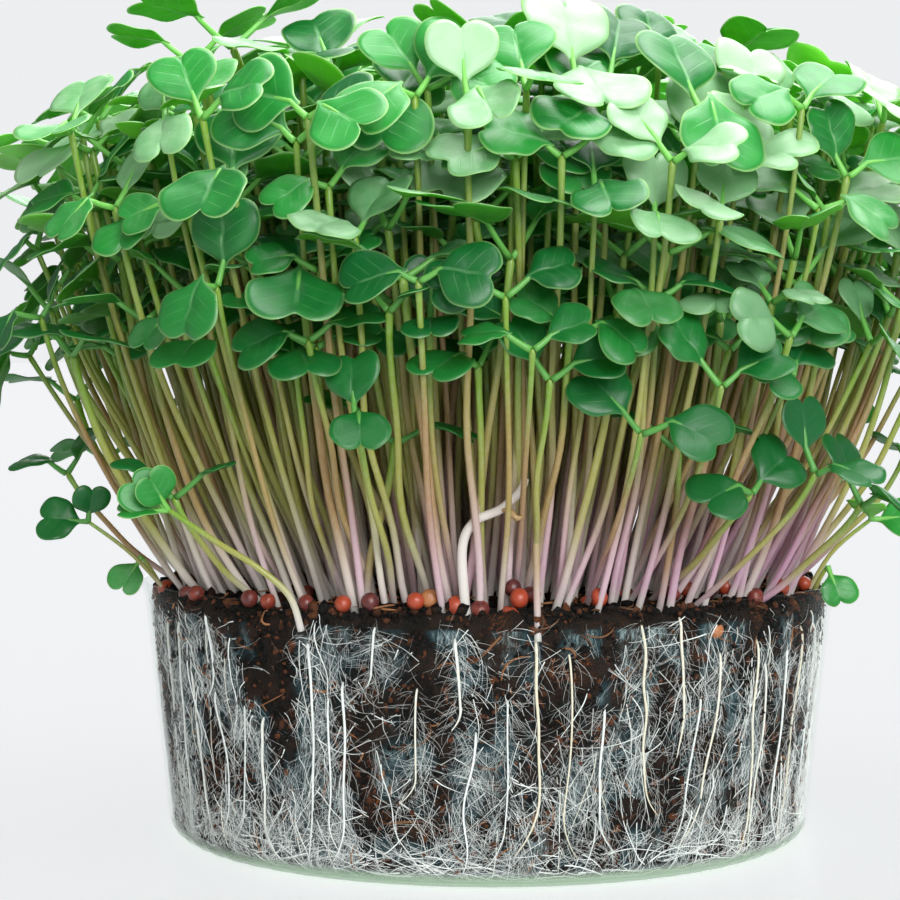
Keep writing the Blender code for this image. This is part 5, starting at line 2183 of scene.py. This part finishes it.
@dataclass
class Strays:
    """The bent leafless seedling, the stem against the wall and a few low late seedlings."""

    bent: Stray = Stray(
        ((-2.6, -49.6, 35.0), (-3.2, -50.6, 40.7), (-3.5, -52.0, 48.3), (-1.8, -52.8, 51.8),
         (1.7, -53.0, 53.5), (4.4, -53.2, 56.0), (5.1, -53.2, 57.8)), 0.72, 0.0, 0.0,
    )
    pressed: Stray = Stray(
        ((6.9, -52.0, 35.2), (6.8, -51.2, 41.0), (6.6, -50.6, 52.0), (6.0, -50.2, 64.0), (4.4, -49.4, 78.0),
         (2.6, -47.0, 92.0)), 0.52, 0.7, 0.35,
    )
    withered: tuple[Triple, ...] = (
        (1.6, -53.2, 53.6), (3.0, -53.7, 53.2), (3.9, -54.2, 52.4), (4.8, -54.0, 52.6),
    )
    pale: Stray = Stray(
        ((-26.2, -46.0, 36.0), (-27.8, -47.0, 41.0), (-32.2, -47.4, 45.0), (-37.2, -46.6, 48.0),
         (-41.4, -45.6, 50.6), (-45.0, -44.6, 52.9)), 0.50, 0.1, 0.0, 0.42,
        (((-0.75, -0.25, 0.62), (0.25, -0.95, 0.1), 7.0), ((-0.35, -0.55, 0.75), (0.5, -0.8, -0.2), 6.4),
         ((-0.97, -0.1, 0.05), (0.0, -0.35, 0.95), 7.0)),
    )
    others: tuple[Stray, ...] = (
        Stray(((49.0, -12.0, 36.0), (50.6, -13.0, 40.2), (51.8, -14.0, 42.6)), 0.35, 0.2, 0.0, 0.4,
              (((0.35, -0.3, -0.9), (0.2, -0.95, 0.2), 6.0),)),
        Stray(((47.5, -14.0, 36.0), (52.0, -15.5, 44.5), (58.0, -17.0, 50.0)), 0.36, 0.2, 0.2, 0.5,
              (((0.9, -0.2, 0.1), (0.1, -0.75, 0.65), 8.0), ((-0.2, -0.6, 0.4), (0.0, -0.2, 0.95), 6.0))),
        Stray(((-49.0, -9.0, 36.0), (-51.8, -9.6, 41.0), (-53.6, -10.0, 43.6)), 0.35, 0.2, 0.0, 0.6,
              (((-0.5, -0.3, -0.8), (-0.3, -0.9, 0.2), 6.0),)),
        Stray(((-47.0, -14.0, 36.0), (-54.0, -15.0, 44.0), (-61.0, -15.5, 49.4)), 0.36, 0.5, 0.3, 0.1,
              (((-0.95, -0.1, 0.1), (0.0, -0.85, 0.5), 7.5), ((0.2, -0.5, 0.8), (0.3, -0.8, -0.4), 6.0))),
    )

    steps: int = 6
    sides: int = 8
    petiole: float = 1.6
    bend: float = 0.12

    def build(self, leaf_finish: Material, stem_finish: Material) -> None:
        """Makes the stems and the leaves of all of them, and puts them on the object."""
        rng = np.random.default_rng(SEED + 51)
        foliage = Foliage()
        stems, leaves = MeshParts(), MeshParts()
        for stray in (self.bent, self.pressed, self.pale, *self.others):
            path = smooth_path(stray.path, self.steps)
            rings = len(path)
            along = np.linspace(0, 1, rings) * (0.08 if stray is self.bent else 1.0)
            radii = stray.girth * (1.05 - 0.25 * np.linspace(0, 1, rings))
            points, faces = tubes(path[None], radii[None], np.array([[0.9, 0.35, 0.1]]), self.sides)
            look = [along[None], np.full((1, rings), stray.tan), np.full((1, rings), stray.blush)]
            stems.add(points, faces, stalk=tube_values(look, rings, self.sides))
            fork = path[-1]
            for heading, facing, width in stray.leaves:
                along_leaf = unit(np.array(heading))
                across = unit(np.cross(np.array(facing), along_leaf))
                normal = np.cross(along_leaf, across)
                origin = Vector(fork + along_leaf * self.petiole)
                frame_of_leaf = LeafFrame(
                    Vector(fork), origin, Vector(along_leaf), Vector(across), Vector(normal),
                    width * BLADE_SHARE, width, self.bend, self.bend,
                )
                shade = 0.15 if stray.tan < 0.4 else 1.0
                foliage.add_leaf(leaves, frame_of_leaf, stray.paleness, rng, shade)
        self.add_withered_tip(stems)
        install(stems.make("stray_stems", stem_finish), [])
        install(leaves.make("stray_leaves", leaf_finish), [])

    def add_withered_tip(self, parts: MeshParts) -> None:
        """Adds the shrivelled seed leaf that hangs from the bent seedling."""
        path = smooth_path(self.withered, 4)
        radii = np.interp(np.linspace(0, 1, len(path)), (0, 0.35, 0.75, 1), (0.25, 0.55, 0.42, 0.12))
        points, faces = tubes(path[None], radii[None], np.array([[0.1, 1.0, 0.2]]), 6)
        parts.add(points, faces, stalk=np.array([0.42, 1.0, 0.0]))


# Floor, light and camera

class Lamp(NamedTuple):
    """A soft square light: its place, target and side in metres, and its power in watts."""

    name: str
    place: Triple
    target: Triple
    size: float
    power: float


@dataclass
class Studio:
    """A pale floor, a bright even room and soft lamps above, behind and in front."""

    room: Colour = (0.850, 0.858, 0.873)
    room_light: float = 0.42
    floor_half: float = 60.0
    lamps: tuple[Lamp, ...] = (
        Lamp("top_light", (0.18, 0.05, 0.80), (0.0, 0.0, 0.06), 0.6, 12.0),
        Lamp("back_light", (0.15, 0.85, 0.50), (0.0, 0.0, 0.08), 0.8, 11.0),
        Lamp("front_light", (0.32, -1.02, 0.50), (0.0, 0.0, 0.06), 0.6, 15.5),
    )

    def build(self) -> None:
        """Makes the floor, the room and the lights."""
        half = self.floor_half / MM
        parts = MeshParts()
        corners = np.array([(-half, -half, 0), (half, -half, 0), (half, half, 0), (-half, half, 0)])
        parts.add(corners, [np.array([[0, 1, 2, 3]])])
        floor = parts.make("pale_floor", FloorFinish().build())
        floor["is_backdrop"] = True
        self.build_room()
        spared = bpy.data.collections.new("spared_by_lamps")
        spared.objects.link(floor)
        spared.collection_objects[0].light_linking.link_state = "EXCLUDE"
        for lamp in self.lamps:
            self.add_light(lamp).light_linking.receiver_collection = spared
        bpy.context.scene.view_settings.view_transform = "Standard"

    def build_room(self) -> None:
        """Makes the even pale room, which looks brighter than the light that it gives."""
        world = bpy.data.worlds.new("bright_room")
        bpy.context.scene.world = world
        world.use_nodes = True
        tree = world.node_tree
        background = tree.nodes["Background"]
        background.inputs["Color"].default_value = (*self.room, 1.0)
        seen = tree.nodes.new("ShaderNodeLightPath")
        strength = tree.nodes.new("ShaderNodeMapRange")
        strength.inputs["To Min"].default_value = self.room_light
        strength.inputs["To Max"].default_value = 1.0
        tree.links.new(seen.outputs["Is Camera Ray"], strength.inputs["Value"])
        tree.links.new(strength.outputs[0], background.inputs["Strength"])

    def add_light(self, lamp: Lamp) -> Object:
        """Adds a soft square light.

        Args:
            lamp: What the light is like.

        Returns:
            The light.
        """
        data = bpy.data.lights.new(lamp.name, "AREA")
        data.size = lamp.size
        data.energy = lamp.power
        light = bpy.data.objects.new(lamp.name, data)
        light.location = lamp.place
        aim = Vector(lamp.target) - Vector(lamp.place)
        light.rotation_euler = aim.to_track_quat("-Z", "Y").to_euler()
        bpy.context.scene.collection.objects.link(light)
        return light


@dataclass
class PhotoCamera:
    """The photograph's viewpoint: just above the tub's rim, close in front of it."""

    distance: float = 0.400
    height: float = 0.074
    focal_pixels: float = 2531.0
    frame_pixels: float = 900.0
    axis_pixel: float = 488.0
    horizon_pixel: float = 360.0
    sensor: float = 36.0

    def build(self) -> None:
        """Makes the camera and gives it to the scene."""
        middle = self.frame_pixels / 2
        pitch = math.atan((middle - self.horizon_pixel) / self.focal_pixels)
        yaw = math.atan((self.axis_pixel - middle) / self.focal_pixels)
        data = bpy.data.cameras.new("photo_camera")
        data.sensor_width = self.sensor
        data.lens = self.focal_pixels / self.frame_pixels * self.sensor
        data.clip_start = 0.01
        camera = bpy.data.objects.new("photo_camera", data)
        camera.location = (0.0, -self.distance, self.height)
        camera.rotation_euler = (math.pi / 2 - pitch, 0.0, yaw)
        bpy.context.scene.collection.objects.link(camera)
        bpy.context.scene.camera = camera


def check_clumps(clumps: list[Clump]) -> None:
    """Warns of any clump whose top isn't where the CAD model has it."""
    for clump in clumps:
        points = [point for seedling in clump.seedlings for point in seedling.shape()[0].points]
        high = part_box(clump.node)[1]
        gap = max(point.z for point in points) - high[2] / MM
        if abs(gap) > 0.05:
            LOG.warning("%s is %.2f mm off its CAD node", clump.node, gap)


def main() -> None:
    """Builds the camera, the room and every sub-assembly in order."""
    logging.basicConfig(level=logging.INFO, format="%(name)s %(message)s")
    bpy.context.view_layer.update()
    PhotoCamera().build()
    Studio().build()
    sites = soil_sites()
    clumps = settle_all(sites)
    check_clumps(clumps)
    Crop(clumps).build()
    ClearTub().build()
    GrowingMix().build()
    Roots().build()
    SeedCoats(sites).build()


if __name__ == "__main__":
    main()
